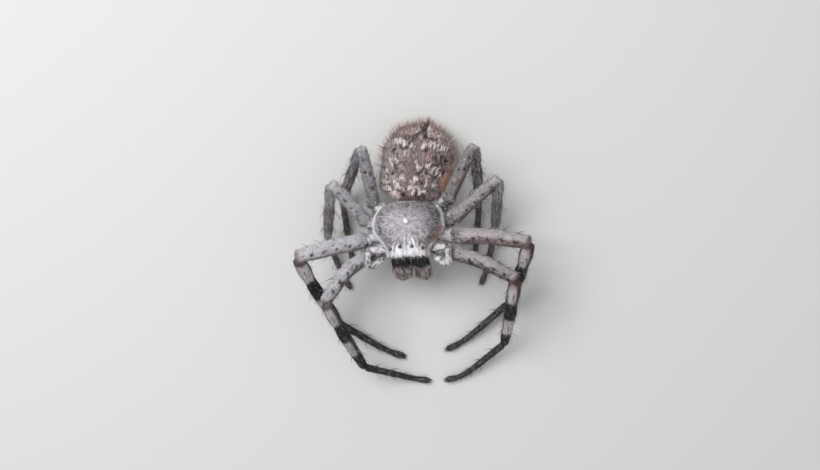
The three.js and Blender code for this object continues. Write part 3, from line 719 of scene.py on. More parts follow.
FORK_BROWN, BELLY_BROWN = (0.05, 0.04, 0.034), (0.33, 0.25, 0.22)


def paint_abdomen(local, share, turn):
    """Streaks of cream and black hair either side of a plain band, ragged cream dabs, and rusty flanks."""
    x, y, z = local.T
    back = z > 0
    streak, fine = mottle(local * [3.2, 1.3, 1.5], 0.45, 1), mottle(local * [2.0, 1.1, 1.0], 0.42, 9)
    coarse = mottle(local * [1.3, 0.8, 1], 0.8, 2)
    jog = 0.3 * (mottle(local, 0.5, 8) - 0.5)
    width = 1.0 + 0.3 * (mottle(local, 0.7, 5) - 0.5)
    band = bump(x + 0.4 + 0.1 * (y - 7), 0, width) * (1 - ease(y, 7.6, 9.2))
    rough = 1 - 0.85 * ease(band, 0.25, 0.7)
    bright = rough * (0.15 + 0.75 * ease(coarse, 0.4, 0.6)) * (1 - 0.5 * ease(-x, 0.8, 2.5))
    halo = dabs(x - jog, y + jog, grown(CREAM_DABS, 1.6))
    stem = along_path(x, y, FORK_STEM)
    arm = np.minimum(along_path(x, y, FORK_ARMS[0]), along_path(x, y, FORK_ARMS[1]) + 0.06)
    flank = ease(x + 0.3 * (y - 5), 4.1, 4.6) * (1 - ease(y, 8.5, 10)) * ease(-z - 0.35 * y, -4.4, -3.6)
    rust = mix(even(RUST, x), OLIVE, 0.7 * ease(streak, 0.6, 0.75))
    return layered(
        even(BARK, x) * (0.85 + 0.3 * fine[:, None]),
        (BARK_GREY, 0.8 * ease(-x, 0.9, 3.2) * (1 - ease(y, 7.5, 10))),
        (REAR_PINK, 0.8 * ease(y, 9.3, 11) * ease(coarse, 0.15, 0.45)),
        (MAUVE, 0.9 * (1 - rough) * ease(y, 0.9, 1.6)),
        (CREAM, 0.8 * bright * ease(streak, 0.64, 0.72)),
        (SOOT, 0.85 * rough * ease(1 - streak, 0.62, 0.7) * (1 - 0.6 * ease(y, 9, 11))),
        (SOOT, 0.8 * halo * ease(1 - fine, 0.5, 0.62)),
        (CREAM, dabs(x + jog, y + jog, CREAM_DABS, 0.2) * ease(streak + 0.4 * fine, 0.52, 0.62)),
        (SOOT, 0.95 * dabs(x - jog, y + jog, DARK_DABS, 0.15) * ease(1 - fine, 0.2, 0.35)),
        (PINK, 0.9 * dabs(x, y, PINK_DABS)),
        (FORK_BROWN, 0.97 * (1 - ease(stem + jog, 0.36, 0.52)) * back),
        (OLIVE, 0.95 * (1 - ease(arm + 0.3 * jog, 0.18, 0.32)) * back),
        (CREAM, 0.9 * (1 - ease(along_path(x, y, CREAM_ARC), 0.08, 0.2))),
        (SOOT, dabs(x, y, grown(SIGILLA, 1.15)) * back),
        (rust, 0.92 * flank),
        (BELLY_BROWN, 0.8 * ease(-z, 0.6, 2.0)))


abdomen.paint = paint_abdomen
print(len(CREAM_DABS), "cream and", len(DARK_DABS), "dark tufts on the abdomen")

# %% [markdown]
# ## The shield's markings
# Ash grey hair streaks away from the pit, which carries a painted white glint; it is darker in the furrows,
# and painted shade darkens the side away from the light. A white rim runs round it, dimmed by the same
# painted shade on that side, and the face between the eyes is white with a ragged top, over a black lower
# edge of black hair deepened by painted shade. The rays could be drawn one by one, but in the frame of angle
# and distance from the pit plain blotches turn into rays by themselves.

# %% Colours of the shield
RIM_END = 4.5
SHADE_AND_REAR_GREY, STREAK_GREY = (0.14, 0.115, 0.12), (0.13, 0.11, 0.11)
FACE_FURROW = 0.62


def to_edge(local, share):
    """How far a place of the shield is from its rim, seen from above: the lesser of the ways aside and
    back."""
    return np.minimum(carapace_section(share)[0] - np.abs(local[:, 0]), RIM_END - local[:, 1])


def field_layers(local, fine, away, angle, edge):
    """Grey hair in streaks. A streak is a blotch in the frame of angle and distance from the pit, which
    turns into small round blotches close to it."""
    x, y = local.T[:2]
    streak = mottle(np.column_stack([angle * 3.4, away * 0.7, 0 * x]), 0.2, 13)
    outer = ease(away, 1.0, 3.4)
    streak = 0.5 + (streak - 0.5) * outer + (mottle(local * [1, 0.6, 1], 0.17, 15) - 0.5) * (1 - 0.6 * outer)
    inner = bump(edge, 1.25, 0.6) * ease(y, -3.2, -2.0)
    reach = ease(away, 0.8, 1.6) * (1 - ease(away, 4.2, 5.2))
    return [
        # painted shade on the side away from the light, and a little darker towards the rear on the other
        # side
        (SHADE_AND_REAR_GREY, 0.8 * ease(x, 1.4, 3.9) + 0.15 * ease(y, 1.5, 3.6) * (x < 0)),
        *[(SMOKE, 0.4 * (bump(np.abs(angle), middle, 0.09) * reach)) for middle in (FACE_FURROW, *FURROWS)],
        (STREAK_GREY, 0.6 * ease(streak, 0.56, 0.74)),
        (WHITE, 0.25 * ease(1 - streak, 0.6, 0.8)),
        (SMOKE, 0.3 * inner),
        (SOOT, 0.9 * inner * ease(fine, 0.56, 0.64)),
        (SOOT, 0.6 * ease(away, 1.2, 2.5) * ease(1 - fine, 0.8, 0.86))]


print("the field of the shield has", 1 + len(FURROWS), "furrows on each side")

# %% [markdown]
# ## The face
# Between the eyes the front of the shield is bright white with a torn top edge, and under it lies a black
# strip, black hair deepened by painted shade under the brow. Both could be drawn as outlines, but a height
# that blotches push up and down gives the torn edge of real hair.

# %% The face and the whole shield
FACE_WHITE, LINE_WHITE, PIT_GLINT = (0.95, 0.93, 0.95), (0.98, 0.97, 0.98), (0.95, 0.95, 0.95)
RUSTY_RIM, FLESH_PINK = (0.42, 0.18, 0.13), (0.6, 0.4, 0.37)
FACE_LINES = [(0.95, -2.2), (1.4, -3.7), (0.0, -4.8)], [(-1.3, -3.2), (-1.1, -4.1), (-0.15, -4.85)]
# painted shadow: dark streaks beside the eyes
EYE_SHADOW_STREAKS = [(-0.82, -3.2, 0.3), (0.9, -3.1, 0.4), (-2.0, -3.9, 0.3), (2.15, -3.0, 0.5)]  # place, length
WORN = -1.3, 1.5  # where the rim on the left side is bare: its middle and width


def face_layers(local, fine):
    """Two pale lines and a dark one run down to the eyes; below them the face is white in teeth of uneven
    height, with dark rings round the eyes, painted shadow streaks beside them, and a black lower edge that
    rises to an arch in the middle: black hair deepened by painted shade under the brow."""
    x, y, z = local.T
    tooth = mottle(np.column_stack([x * 3.0, y * 0.25, 0 * x]), 0.55, 14)
    low = 3.2 + 0.35 * ease(np.abs(x - 0.1), 1.1, 1.6)
    face = ease(-y + 1.5 * (tooth - 0.5) - 0.45 * bump(x, 0, 0.6) - low, 0, 0.15) * (1 - ease(x, 2.8, 3.1))
    face *= 1 - ease(-x, 2.5, 2.75)
    lines = np.minimum(*(along_path(x, y, path) for path in FACE_LINES))
    arch = 4.62 - 0.2 * bump(x, 0.3, 0.9)
    clypeus = ease(-y + 0.3 * (fine - 0.5) - arch, 0, 0.16) * (1 - ease(z + 0.5 * (fine - 0.5), 1.5, 1.8))
    pale = [0.6 * bump(x, cx, 0.12) * ease(-y, 0.4, 2.0) * ease(fine, 0.2, 0.4) for cx in (-0.27, 0.5)]
    rings = [0.95 * (1 - ease(np.linalg.norm(local - spot, axis=1), 0.27, 0.38))
             for spot in EYE_SPOTS.values()]
    shadow_ticks = [0.8 * bump(np.hypot((x - cx) / 0.12, (y - cy) / tall), 0, 1) for cx, cy, tall in EYE_SHADOW_STREAKS]
    return [
        *[(WHITE, amount) for amount in pale],
        (SOOT, 0.5 * bump(x, 0.1, 0.1) * ease(-y, 0.2, 1.2) * (1 - ease(-y, 3.6, 4.2))),
        (FACE_WHITE, face * (0.45 + 0.55 * ease(tooth + 0.6 * fine, 0.55, 0.85))),
        (LINE_WHITE, 1 - ease(lines, 0.1, 0.22)),
        *[(SOOT, amount) for amount in rings + shadow_ticks],
        # black hair of the lower face, deepened by painted shade under the brow
        (SOOT, 0.98 * clypeus * (1 - ease(np.abs(x), 2.9, 3.3)))]


def paint_carapace(local, share, turn):
    """The field, then the rim, the face, the rusty patch of the left rim and the painted white glint on the
    pit.
    """
    x, y = local.T[:2]
    fine, coarse = mottle(local, 0.2, 11), mottle(local, 0.9, 12)
    away, angle = np.hypot(x, y - FOVEA[1]), np.arctan2(x, -(y - FOVEA[1]))
    edge = to_edge(local, share) + 0.2 * (fine - 0.5)
    bare = bump(y, *WORN) * (x > 0)
    patch = ease(y, -2.9, -2.2) * (1 - ease(y, -0.4, 0.4)) * (1 - ease(edge, 0.45, 0.8)) * (x > 0)
    pit = np.hypot((x - FOVEA[0]) / (0.27 + 0.1 * (y - 0.7)), (y - FOVEA[1]) / 0.4)
    return layered(
        even(ASH, x) * (0.92 + 0.2 * coarse[:, None]),
        *field_layers(local, fine, away, angle, edge),
        # the white rim, dimmed by painted shade on the side away from the light wherever it isn't bare
        (SNOW, (1 - ease(edge, 0.3, 0.46)) * (1 - 0.9 * bare - 0.4 * (x > 1) * (1 - bare))),
        *face_layers(local, fine),
        (RUSTY_RIM, 0.85 * patch * ease(coarse + fine, 0.7, 1.0)),
        (FLESH_PINK, 0.8 * bump(x, 3.1, 0.4) * bump(y, -4.2, 0.6)),
        (SOOT, 0.85 * bump(x, FOVEA[0], 0.09) * bump(y, 1.55, 0.4)),
        (SMOKE, 0.7 * bump(np.hypot(x - FOVEA[0], y - FOVEA[1]), 0.45, 0.12)),
        # a painted glint: the white spot on the pit
        (PIT_GLINT, 1 - ease(pit, 0.8, 1.15)))


carapace.paint = paint_carapace
print("middle of the shield:", paint_carapace(np.array([[*FOVEA, 2.5]]), np.array([0.6]), 0.5).round(2))

# %% [markdown]
# ## The legs' markings
# The thighs are grey above with a row of dark dots and browner underneath, the shins of the front pairs are
# banded in black and pale grey, and the feet are nearly black. Spines stand in rows, each with a dark stain
# at its foot, so their places are needed here first. A place round a segment is an angle: 0 is level on the
# front or inner side, 90 on top. Bands could be set by their height over the floor, but a share along the
# segment keeps them square to the leg however it bends.

# %% Rows of spines, dots and stains
SPINES = {  # share along the segment and degrees round it
    "femur": [(0.49, 18), (0.6, 14), (0.36, 92), (0.62, 86), (0.46, 160), (0.64, 166), (0.82, 170)],
    "shin": [(0.42, 5), (0.45, 176), (0.58, -48), (0.61, 228), (0.73, 12), (0.76, 170)],
    "foot": [(0.15, 4), (0.19, 178), (0.4, 12), (0.45, 168)]}
SMALL_SPINES = {
    "femur": [(0.22, 60), (0.78, 20), (0.8, 90)],
    "shin": [(0.14, 92), (0.42, -52), (0.42, 232), (0.84, -50), (0.86, 228), (0.6, 88)],
    "foot": [(0.15, -50), (0.17, 230), (0.4, -46), (0.44, 226), (0.6, 6), (0.62, 172)]}
FEMUR_DOTS = [(0.3, 76), (0.48, 74), (0.66, 76), (0.82, 74)]
HIND_DOTS = [(0.36, 118), (0.58, 122), (0.62, 70), (0.8, 84)]
STAIN_GIRTH = 2 * np.pi * 1.1
STAIN_RADIUS = 0.16


def turn_of(degrees, side):
    """The turn of a place round a segment, from its angle: a quarter turn is level on the left."""
    return 0.25 + degrees / 360 if side > 0 else 0.75 - degrees / 360


def stains(form, share, turn, rows, side, radius):
    """How much a place belongs to a dot, by the distance along and round the segment in millimetres."""
    near = np.full(len(share), 9.0)
    for at, degrees in rows:
        around = np.abs((turn - turn_of(degrees, side) + 0.5) % 1 - 0.5) * STAIN_GIRTH
        near = np.minimum(near, np.hypot((share - at) * form.line.length, around))
    return 1 - ease(near, radius * 0.6, radius * 1.3)


print("spines on a leg:", sum(len(rows) for part in (SPINES, SMALL_SPINES) for rows in part.values()))

# %% [markdown]
# ## Hips and thighs
# Light falls from one side, so the legs of the side towards it are painted paler, and every segment gets
# painted shade underneath; the grey of one side is also redder, so some tones depend on the side as well as
# on the pair. What the painters share is worked out once; each then lays its own layers on it.

# %% Painters of hips and thighs
GREYS = {1: (0.42, 0.38, 0.38), -1: (0.405, 0.39, 0.415)}
SHADES = {1: (0.14, 0.09, 0.088), -1: (0.2, 0.165, 0.165)}
# painted light: legs of the side towards the light are paler, those of the other side darker
PAINTED_SIDE_LIGHT = {1: 0.96, -1: 1.15}
PAIR_PALENESS = {1: 0.9, 2: 1.02, 3: 0.82, 4: 0.52}
KNEE_DARK, KNEE_PALE = (0.17, 0.1, 0.09), (0.55, 0.5, 0.51)
THIGH_SHADE = {(2, 1): (-0.15, 0.35)}  # the thigh whose shade reaches further round than the others'


def leg_light(leg, local, turn):
    """What the painters of one leg share: blotches in two sizes, how far up and how far inwards a place
    faces, from the cosine and sine of the turn, and grey hair, painted paler on the side towards the light,
    with painted shade in the side's shade colour underneath."""
    seed = 31 * leg.pair + leg.side
    top, inner = -np.cos(2 * np.pi * turn), np.sin(2 * np.pi * turn) * leg.side
    grey = np.array(GREYS[leg.side]) * (PAIR_PALENESS[leg.pair] * PAINTED_SIDE_LIGHT[leg.side])
    # painted shade underneath every segment
    under = mix(even(grey, local), SHADES[leg.side], 0.9 * ease(-top, -0.3, 0.4))
    return SimpleNamespace(seed=seed, top=top, inner=inner, under=under, fine=mottle(local, 0.2, seed),
                           coarse=mottle(local, 1.1, seed + 5))


def paint_coxa(leg, local, share, turn):
    """White and black tufts over grey, with painted shade, nearly black, on the sides and underneath, all but
    along the top.
    """
    f = leg_light(leg, local, turn)
    patch = mottle(local, 0.7, f.seed + 9)
    return layered(
        f.under * (0.7 + 0.3 * f.coarse[:, None]),
        (WHITE, 0.9 * ease(patch, 0.45, 0.55)),
        (SOOT, 0.85 * ease(1 - patch, 0.55, 0.7) + 0.5 * ease(f.fine, 0.6, 0.7)),
        # painted shade, nearly black, everywhere but along the top, where the hips crowd together
        (SOOT, 0.95 * ease(-f.top, -0.9, -0.5)))


def paint_femur(leg, f, form, local, share, turn):
    """Grey with painted shade on the inner side, flecked black and white, with painted shade at the root next
    to the hip, a knee of its own tone and a row of dots. The first pair also has black blotches on its inner
    side."""
    left, front = leg.side > 0, leg.pair < 3
    limits = THIGH_SHADE.get((leg.pair, leg.side), (0.1, 0.6) if left else (0.5, 0.75))
    dots, size = (HIND_DOTS, 0.3) if leg.pair == 4 else (FEMUR_DOTS, 0.28 if front else 0.22)
    knee = ease(share + 0.05 * f.fine, 0.96, 1.01)
    layers = [
        # painted shade on the inner side
        (SHADES[leg.side], (0.95 if left else 0.7) * ease(f.inner, *limits)),
        (SOOT, 0.6 * ease(f.fine, 0.76, 0.84)),
        (WHITE, 0.25 * ease(1 - f.fine, 0.68, 0.82) * ease(f.top, 0, 0.5)),
        # painted shade at the root, next to the hip
        (SOOT, 0.7 * (1 - ease(share, 0.02, 0.1)) * ease(f.coarse, 0.35, 0.55)),
        (KNEE_DARK if front else KNEE_PALE, (0.85 if left else 0.5) * knee),
        (SOOT, 0.95 * stains(form, share, turn, dots, leg.side, size))]
    if leg.pair == 1:
        blotch = ease(mottle(local, 0.8, f.seed + 3), 0.42, 0.52) * ease(f.fine, 0.2, 0.35)
        layers.append((SOOT, 0.9 * bump(f.inner, 0.6, 0.32) * blotch))
    return layered(f.under * (0.85 + 0.3 * f.coarse[:, None]), *layers)


print("dots on a front thigh:", len(FEMUR_DOTS), "and on a hind one:", len(HIND_DOTS))

# %% [markdown]
# ## Shins and feet
# The shins of the two front pairs are black with two pale bands, which show where light falls from above;
# those behind are grey-brown with faint rings. The bands could be blotches too, but they sit at the same
# shares of every shin, so two rows of limits are enough.

# %% Painters of shins and feet
BAND_LIGHT, BAND_BLACK, BAND_BROWN = (0.6, 0.55, 0.58), (0.012, 0.01, 0.011), (0.09, 0.065, 0.06)
JOINT_RED, JOINT_BROWN = (0.08, 0.032, 0.03), (0.12, 0.085, 0.08)
HIND_SHIN, HIND_DARK, HIND_PALE = (0.24, 0.205, 0.2), (0.07, 0.055, 0.055), (0.42, 0.39, 0.39)
BAND_SHIFT = {(1, -1): 0.03, (2, 1): 0.025, (1, 1): 0.01}
BANDS = [(0.05, 0.08, 0.27, 0.3), (0.5, 0.54, 0.73, 0.77)]  # shares where each band starts and ends


def paint_banded_shin(leg, f, share):
    """Black, with two pale bands where light falls from above, brown in their shade and reddish at the
    knee."""
    left = leg.side > 0
    jog = share + 0.05 * (f.coarse - 0.5) + BAND_SHIFT.get((leg.pair, leg.side), 0)
    stripe = sum(ease(jog, a, b) * (1 - ease(jog, c, d)) for a, b, c, d in BANDS)
    lit = ease(f.top, -0.1, 0.45) * (1 - 0.5 * ease(np.abs(f.inner), 0.8, 0.95))
    if left:
        lit *= 1 - 0.8 * ease(-f.inner, 0.2, 0.6) * (1 - ease(jog, 0.4, 0.45))
    elif leg.pair == 1:
        lit *= 1 - 0.9 * ease(f.inner, 0.25, 0.65)
    joint = 1 - ease(jog, 0.04, 0.12 if left else 0.07)
    return layered(
        even(BAND_BLACK, share),
        (BAND_LIGHT, stripe * lit),
        (SOOT, 0.35 * stripe * ease(f.fine, 0.6, 0.75)),
        (BAND_BROWN, 0.8 * stripe * (1 - lit)),
        (JOINT_RED if left else JOINT_BROWN, 0.9 * joint),
        (JOINT_RED, (0.85 if left else 0.3) * ease(-f.inner, 0.5, 0.8) * (1 - ease(jog, 0.27, 0.3))))


def paint_hind_shin(leg, f, share):
    """Grey-brown with faint darker and paler rings."""
    return layered(
        f.under * 0.8,
        (HIND_SHIN, ease(share, 0.3, 0.4)),
        (SMOKE, 0.6 * ease(f.coarse, 0.5, 0.7)),
        (HIND_DARK, 0.6 * bump(share, 0.38, 0.06) + 0.5 * bump(share, 0.72, 0.07)),
        (HIND_PALE, 0.8 * bump(share, 0.87, 0.06) + 0.3 * bump(share, 0.55, 0.05)),
        (SOOT, 0.5 * ease(1 - f.fine, 0.68, 0.8)))


def paint_foot(leg, f, share):
    """Umber, nearly black on the front pairs, with grey flecks and a pale start on the hind ones."""
    hind = leg.pair > 2
    return mix(even(np.array(UMBER) * (2.2 if hind else 0.75), share), ASH,
               0.2 * ease(f.fine, 0.62, 0.8) + 0.3 * bump(share, 0.08, 0.05) * hind)


def paint_spiny(part, leg, form, local, share, turn):
    """A segment with spines: its own hair first, and over it the stain at each spine's foot."""
    f = leg_light(leg, local, turn)
    if part == "femur":
        colour = paint_femur(leg, f, form, local, share, turn)
    elif part == "foot":
        colour = paint_foot(leg, f, share)
    else:
        colour = (paint_hind_shin if leg.pair > 2 else paint_banded_shin)(leg, f, share)
    rows = SPINES[part] + SMALL_SPINES[part]
    return mix(colour, SOOT, 0.8 * stains(form, share, turn, rows, leg.side, STAIN_RADIUS))


for leg in legs:
    leg.coxa.paint = partial(paint_coxa, leg)
    for part in SPINES:
        form = getattr(leg, part)
        form.paint = partial(paint_spiny, part, leg, form)
print("painted", len(legs), "legs")

# %% [markdown]
# ## Palps, jaws and underside
# The palps are white above with black flecks, with painted shade underneath, and dark at their joints. The
# jaws start black, black hair deepened by painted shade under the head, and turn to grey-brown bristles over
# reddish skin. Everything else, mostly hidden underneath, is light brown with paler flecks. Each hidden part
# could have a painter of its own, but one is enough for what hardly shows.

# %% Painters of palps, jaws and the rest
PALP_WHITE, PALP_DARK = (0.7, 0.67, 0.7), (0.05, 0.025, 0.022)
JAW_BROWN, JAW_PALE, JAW_BLACK = (0.27, 0.2, 0.19), (0.66, 0.57, 0.56), (0.011, 0.009, 0.009)
UNDER_BROWN, UNDER_PALE = (0.26, 0.15, 0.115), (0.4, 0.3, 0.26)


def paint_palp(local, share, turn):
    """White hair above with black flecks, reddish dark painted shade underneath, and the same reddish dark at
    the joints.
    """
    top = -np.cos(2 * np.pi * turn)
    fine = mottle(local, 0.24, 41)
    return layered(
        even(PALP_WHITE, share),
        (SOOT, 0.85 * ease(fine, 0.57, 0.66)),
        (WHITE, 0.7 * ease(1 - fine, 0.58, 0.75)),
        # painted shade, darker towards the underside
        (SMOKE, 0.6 * ease(-top, -0.6, 0.1)),
        # reddish dark: painted shade underneath, and the joints' own dark colour
        (PALP_DARK, 0.9 * np.maximum(ease(-top, -0.1, 0.5), 0.8 * (1 - ease(share, 0.04, 0.16)))))


def paint_jaw(local, share, turn):
    """Black at the top, black hair deepened by painted shade under the head, then grey-brown bristles in
    streaks over reddish skin.
    """
    streak = mottle(local * [1, 1, 0.2], 0.2, 51)
    return layered(
        even(JAW_BROWN, share),
        (JAW_PALE, 0.9 * ease(streak, 0.52, 0.66)),
        (SOOT, 0.9 * ease(1 - streak, 0.6, 0.74)),
        # black hair at the top, deepened by painted shade under the head
        (JAW_BLACK, 0.98 * (1 - ease(share + 0.1 * (streak - 0.5), 0.27, 0.37))))


def paint_under(local, share, turn):
    """Light brown in broad blotches, with flecks of a paler brown."""
    ground = even(UNDER_BROWN, share) * (0.8 + 0.4 * mottle(local, 0.7, 61)[:, None])
    return mix(ground, UNDER_PALE, 0.5 * ease(mottle(local, 0.3, 62), 0.55, 0.75))


for form in FLESH:
    form.paint = form.paint or (paint_palp if form in PALPS else paint_jaw if form in JAWS else paint_under)
print("markings for", len(FLESH), "forms")

# %% [markdown]
# ## Materials
# Hair and skin are matt with a faint sheen; eyes, fangs and claws are polished. The markings are stored on
# the meshes as an attribute, so a material only has to read it. A material is built from nodes, and
# arithmetic on nodes reads best as arithmetic, so a small class lets Python's own signs make the Math
# nodes.

# %% Nodes as arithmetic


class Wire:
    """A node's output that can be reckoned with: arithmetic on it makes a Math node."""

    def __init__(self, tree, socket):
        self.tree, self.socket = tree, socket

    def math(self, kind, other):
        """The Math node of one kind, with this output and a number or another output on its sockets."""
        node = self.tree.nodes.new("ShaderNodeMath")
        node.operation = kind
        plug(self.tree, node.inputs[0], self)
        plug(self.tree, node.inputs[1], other)
        return Wire(self.tree, node.outputs[0])

    def __add__(self, other):
        return self.math("ADD", other)

    def __mul__(self, other):
        return self.math("MULTIPLY", other)

    __radd__, __rmul__ = __add__, __mul__


def plug(tree, socket, value):
    """Links an output to a socket, or sets the socket to a value."""
    if isinstance(value, Wire):
        tree.links.new(value.socket, socket)
    else:
        socket.default_value = value


class Look:
    """A material with one Principled shader, and a method that adds any other node."""

    def __init__(self, name, **settings):
        self.material = bpy.data.materials.new(name)
        self.material.use_nodes = True
        self.tree = self.material.node_tree
        self.shader = self.tree.nodes["Principled BSDF"]
        self.feed(self.shader, **settings)

    def feed(self, node, **sockets):
        """Values or links for a node's sockets, by their names with _ for a space."""
        for key, value in sockets.items():
            plug(self.tree, node.inputs[key.replace("_", " ")], value)

    def node(self, kind, settings=None, out=0, **sockets):
        """A new node of one kind, its settings first, then its sockets. Returns one of its outputs."""
        node = self.tree.nodes.new("ShaderNode" + kind)
        for key, value in (settings or {}).items():
            setattr(node, key, value)
        self.feed(node, **sockets)
        return Wire(self.tree, node.outputs[out])


print("signs that make a Math node: + and *, with a number on either side")

# %% [markdown]
# ## Hair, skin, eyes and horn
# A hair is darker at its root, where light hardly reaches, and lighter at its tip. The skin under it has a
# fine grain. Eyes are nearly black and as glossy as lacquer; horn and spines are a little duller. Blender's
# hair shader is meant for curves, so these solid hairs take the plain shader, with the shade along them
# stored on their points.

# %% Materials
HAIR_ROOT, HAIR_GAIN = 0.72, 0.5
coat_look = Look("coat", Roughness=0.6, Specular_IOR_Level=0.25)
tone = coat_look.node("Attribute", {"attribute_name": "tone"})
tip = coat_look.node("Attribute", {"attribute_name": "tip"}, out="Fac")
toned = coat_look.node("VectorMath", {"operation": "SCALE"}, Vector=tone, Scale=tip * HAIR_GAIN + HAIR_ROOT)
coat_look.feed(coat_look.shader, Base_Color=toned)
COAT = coat_look.material

skin_look = Look("skin", Roughness=0.6, Specular_IOR_Level=0.3)
tone = skin_look.node("Attribute", {"attribute_name": "tone"})
place_now = skin_look.node("TexCoord", out="Object")
grain = skin_look.node("TexNoise", Vector=place_now, Scale=5000.0, Detail=3.0)
grained = skin_look.node("Bump", Height=grain, Strength=0.5, Distance=0.04 * MM)
skin_look.feed(skin_look.shader, Base_Color=tone, Normal=grained)
SKIN = skin_look.material

EYE = Look("eye", Base_Color=(0.006, 0.005, 0.006, 1), Roughness=0.06, Coat_Weight=1.0).material
HORN = Look("horn", Base_Color=(0.02, 0.01, 0.008, 1), Roughness=0.25).material
SPINE = Look("spine", Base_Color=(0.03, 0.02, 0.018, 1), Roughness=0.35).material
print("materials:", [look.name for look in (COAT, SKIN, EYE, HORN, SPINE)])

# %% [markdown]
# ## One skin
# Every form is a closed surface that runs a little way into the next. Overlapping forms would show a hard
# line where they cross and hide walls inside, so a Boolean modifier joins them all into one closed skin. It
# keeps each point's colour, and the new points along a join take their neighbours'.

# %% The union
PITCH = {"carapace": 0.12, "abdomen": 0.2}
LIMB_PITCH = 0.25
FLOOR_GAP = 0.02
SKIN_SHADE = 0.6


def skin_of(form):
    """One form's own closed skin with its tone, kept above the floor and marked as known."""
    share, turn, faces = grid_of(form, PITCH.get(form.name, LIMB_PITCH))
    local = form.local(share, turn)
    points = local @ form.turned.T + form.origin
    points[:, 2] = np.maximum(points[:, 2], FLOOR_GAP)
    tone = form.paint(local, share, turn) * SKIN_SHADE
    return put("part_" + form.name, points, faces, tone=tone, known=np.ones(len(points)))


parts = bpy.data.collections.new("parts")
bpy.context.scene.collection.children.link(parts)
skin = skin_of(carapace)
for form in FLESH:
    if form is not carapace:
        parts.objects.link(skin_of(form))
union = skin.modifiers.new("union", "BOOLEAN")
union.operation = "UNION"
union.operand_type = "COLLECTION"
union.collection = parts
union.solver = "MANIFOLD"
ready = bpy.context.evaluated_depsgraph_get()
mesh = bpy.data.meshes.new_from_object(
    skin.evaluated_get(ready), preserve_all_data_layers=True, depsgraph=ready)
for piece in list(parts.objects):
    bpy.data.objects.remove(piece)
bpy.data.collections.remove(parts)
skin.modifiers.clear()
skin.data = mesh
skin.name = mesh.name = "skin"
print("skin:", len(mesh.vertices), "points")

# %% [markdown]
# ## Colour along the joins
# The union makes new points where two forms cross, and they have no colour yet. Each takes the mean of the
# neighbours that have one, and a few rounds reach them all.

# %% The skin's colours and its place in the frame
ROUNDS = 3


def filled(mesh, rounds):
    """The tones of all points, after points without one take the mean of their known neighbours, and which
    points are known in the end."""
    count = len(mesh.vertices)
    known, tone = np.zeros(count, np.float32), np.zeros(4 * count, np.float32)
    ends = np.zeros(2 * len(mesh.edges), np.int32)
    mesh.attributes["known"].data.foreach_get("value", known)
    mesh.attributes["tone"].data.foreach_get("color", tone)
    mesh.edges.foreach_get("vertices", ends)
    tone, ends, known = tone.reshape(-1, 4), ends.reshape(-1, 2), known > 0.5
    ends = np.vstack([ends, ends[:, ::-1]])
    for _ in range(rounds):
        links = ends[~known[ends[:, 0]] & known[ends[:, 1]]]
        total, tally = np.zeros((count, 4)), np.zeros(count)
        np.add.at(total, links[:, 0], tone[links[:, 1]])
        np.add.at(tally, links[:, 0], 1)
        found = tally > 0
        tone[found] = total[found] / tally[found, None]
        known = known | found
    return tone, known


tone, known = filled(mesh, ROUNDS)
mesh.attributes["tone"].data.foreach_set("color", tone.ravel())
mesh.attributes.remove(mesh.attributes["known"])
mesh.materials.clear()
mesh.materials.append(SKIN)
mesh.shade_smooth()
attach(skin, "root")
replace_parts(skin, *(node for node in frame["nodes"] if not node.startswith(("eye", "fang"))))
mesh.calc_loop_triangles()
print("skin:", len(mesh.loop_triangles), "triangles, points without a colour:", int((~known).sum()))

# %% [markdown]
# ## Eyes and fangs
# These stay separate from the skin. The eight eyes are glossy lenses in two rows, round balls that are set
# into their mounds. The two fangs are curved horn that folds in under the jaws, wide at the root and fine
# at the tip. Blender has spheres of its own, but the form above serves for both: a lens on a straight line,
# and a fang on a bow.

# %% Eyes and fangs
LENS_SIDES = 32
FANG_POINTS = [0.55, -0.25, 0.1], [0.25, -0.35, -0.95], [-1.05, 0.1, -0.45]  # from the end of a jaw


def ball(name, middle, radius):
    """A round lens: a form whose line is as long as the ball and whose section is the circle."""
    reach = np.array([0, radius, 0])
    form = Form(name, smooth(middle - reach, middle + reach), section(radius), (0.5, 0.5), depth=0)
    share, turn, faces = grid_of(form, 2 * np.pi * radius / LENS_SIDES)
    return put(name, form.at(share, turn), faces, slot="eye", material=EYE)


for row, side in EYE_SPOTS:
    node = f"eye_{row}_{HANDS[side]}"
    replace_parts(ball(f"lens_{row}_{HANDS[side]}", *ball_of(node)), node)

for side, end in JAW_ENDS.items():
    points = [np.array(point) * [side, 1, 1] + end for point in FANG_POINTS]
    form = Form("fang", bow(*points), section([[0, 0.42], [1, 0.12]]), (0.15, 0.1), up=[0, 1, 0], place=BODY,
                depth=0)
    share, turn, faces = grid_of(form, 0.08)
    fang = put("horn_fang_" + HANDS[side], form.at(share, turn), faces, slot="fang", material=HORN)
    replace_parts(fang, "fang_" + HANDS[side])
print(len(EYE_SPOTS), "eyes and", len(JAW_ENDS), "fangs")

# %% [markdown]
# ## A hair
# Blender can grow hair curves, but they aren't solid. Here a hair is a thin closed blade: a ring of three
# points at the root, more rings along a bend, and a point at the tip. All hairs of a kind are made at once
# as arrays.

# %% Hairs as arrays
TAPER = 0.6


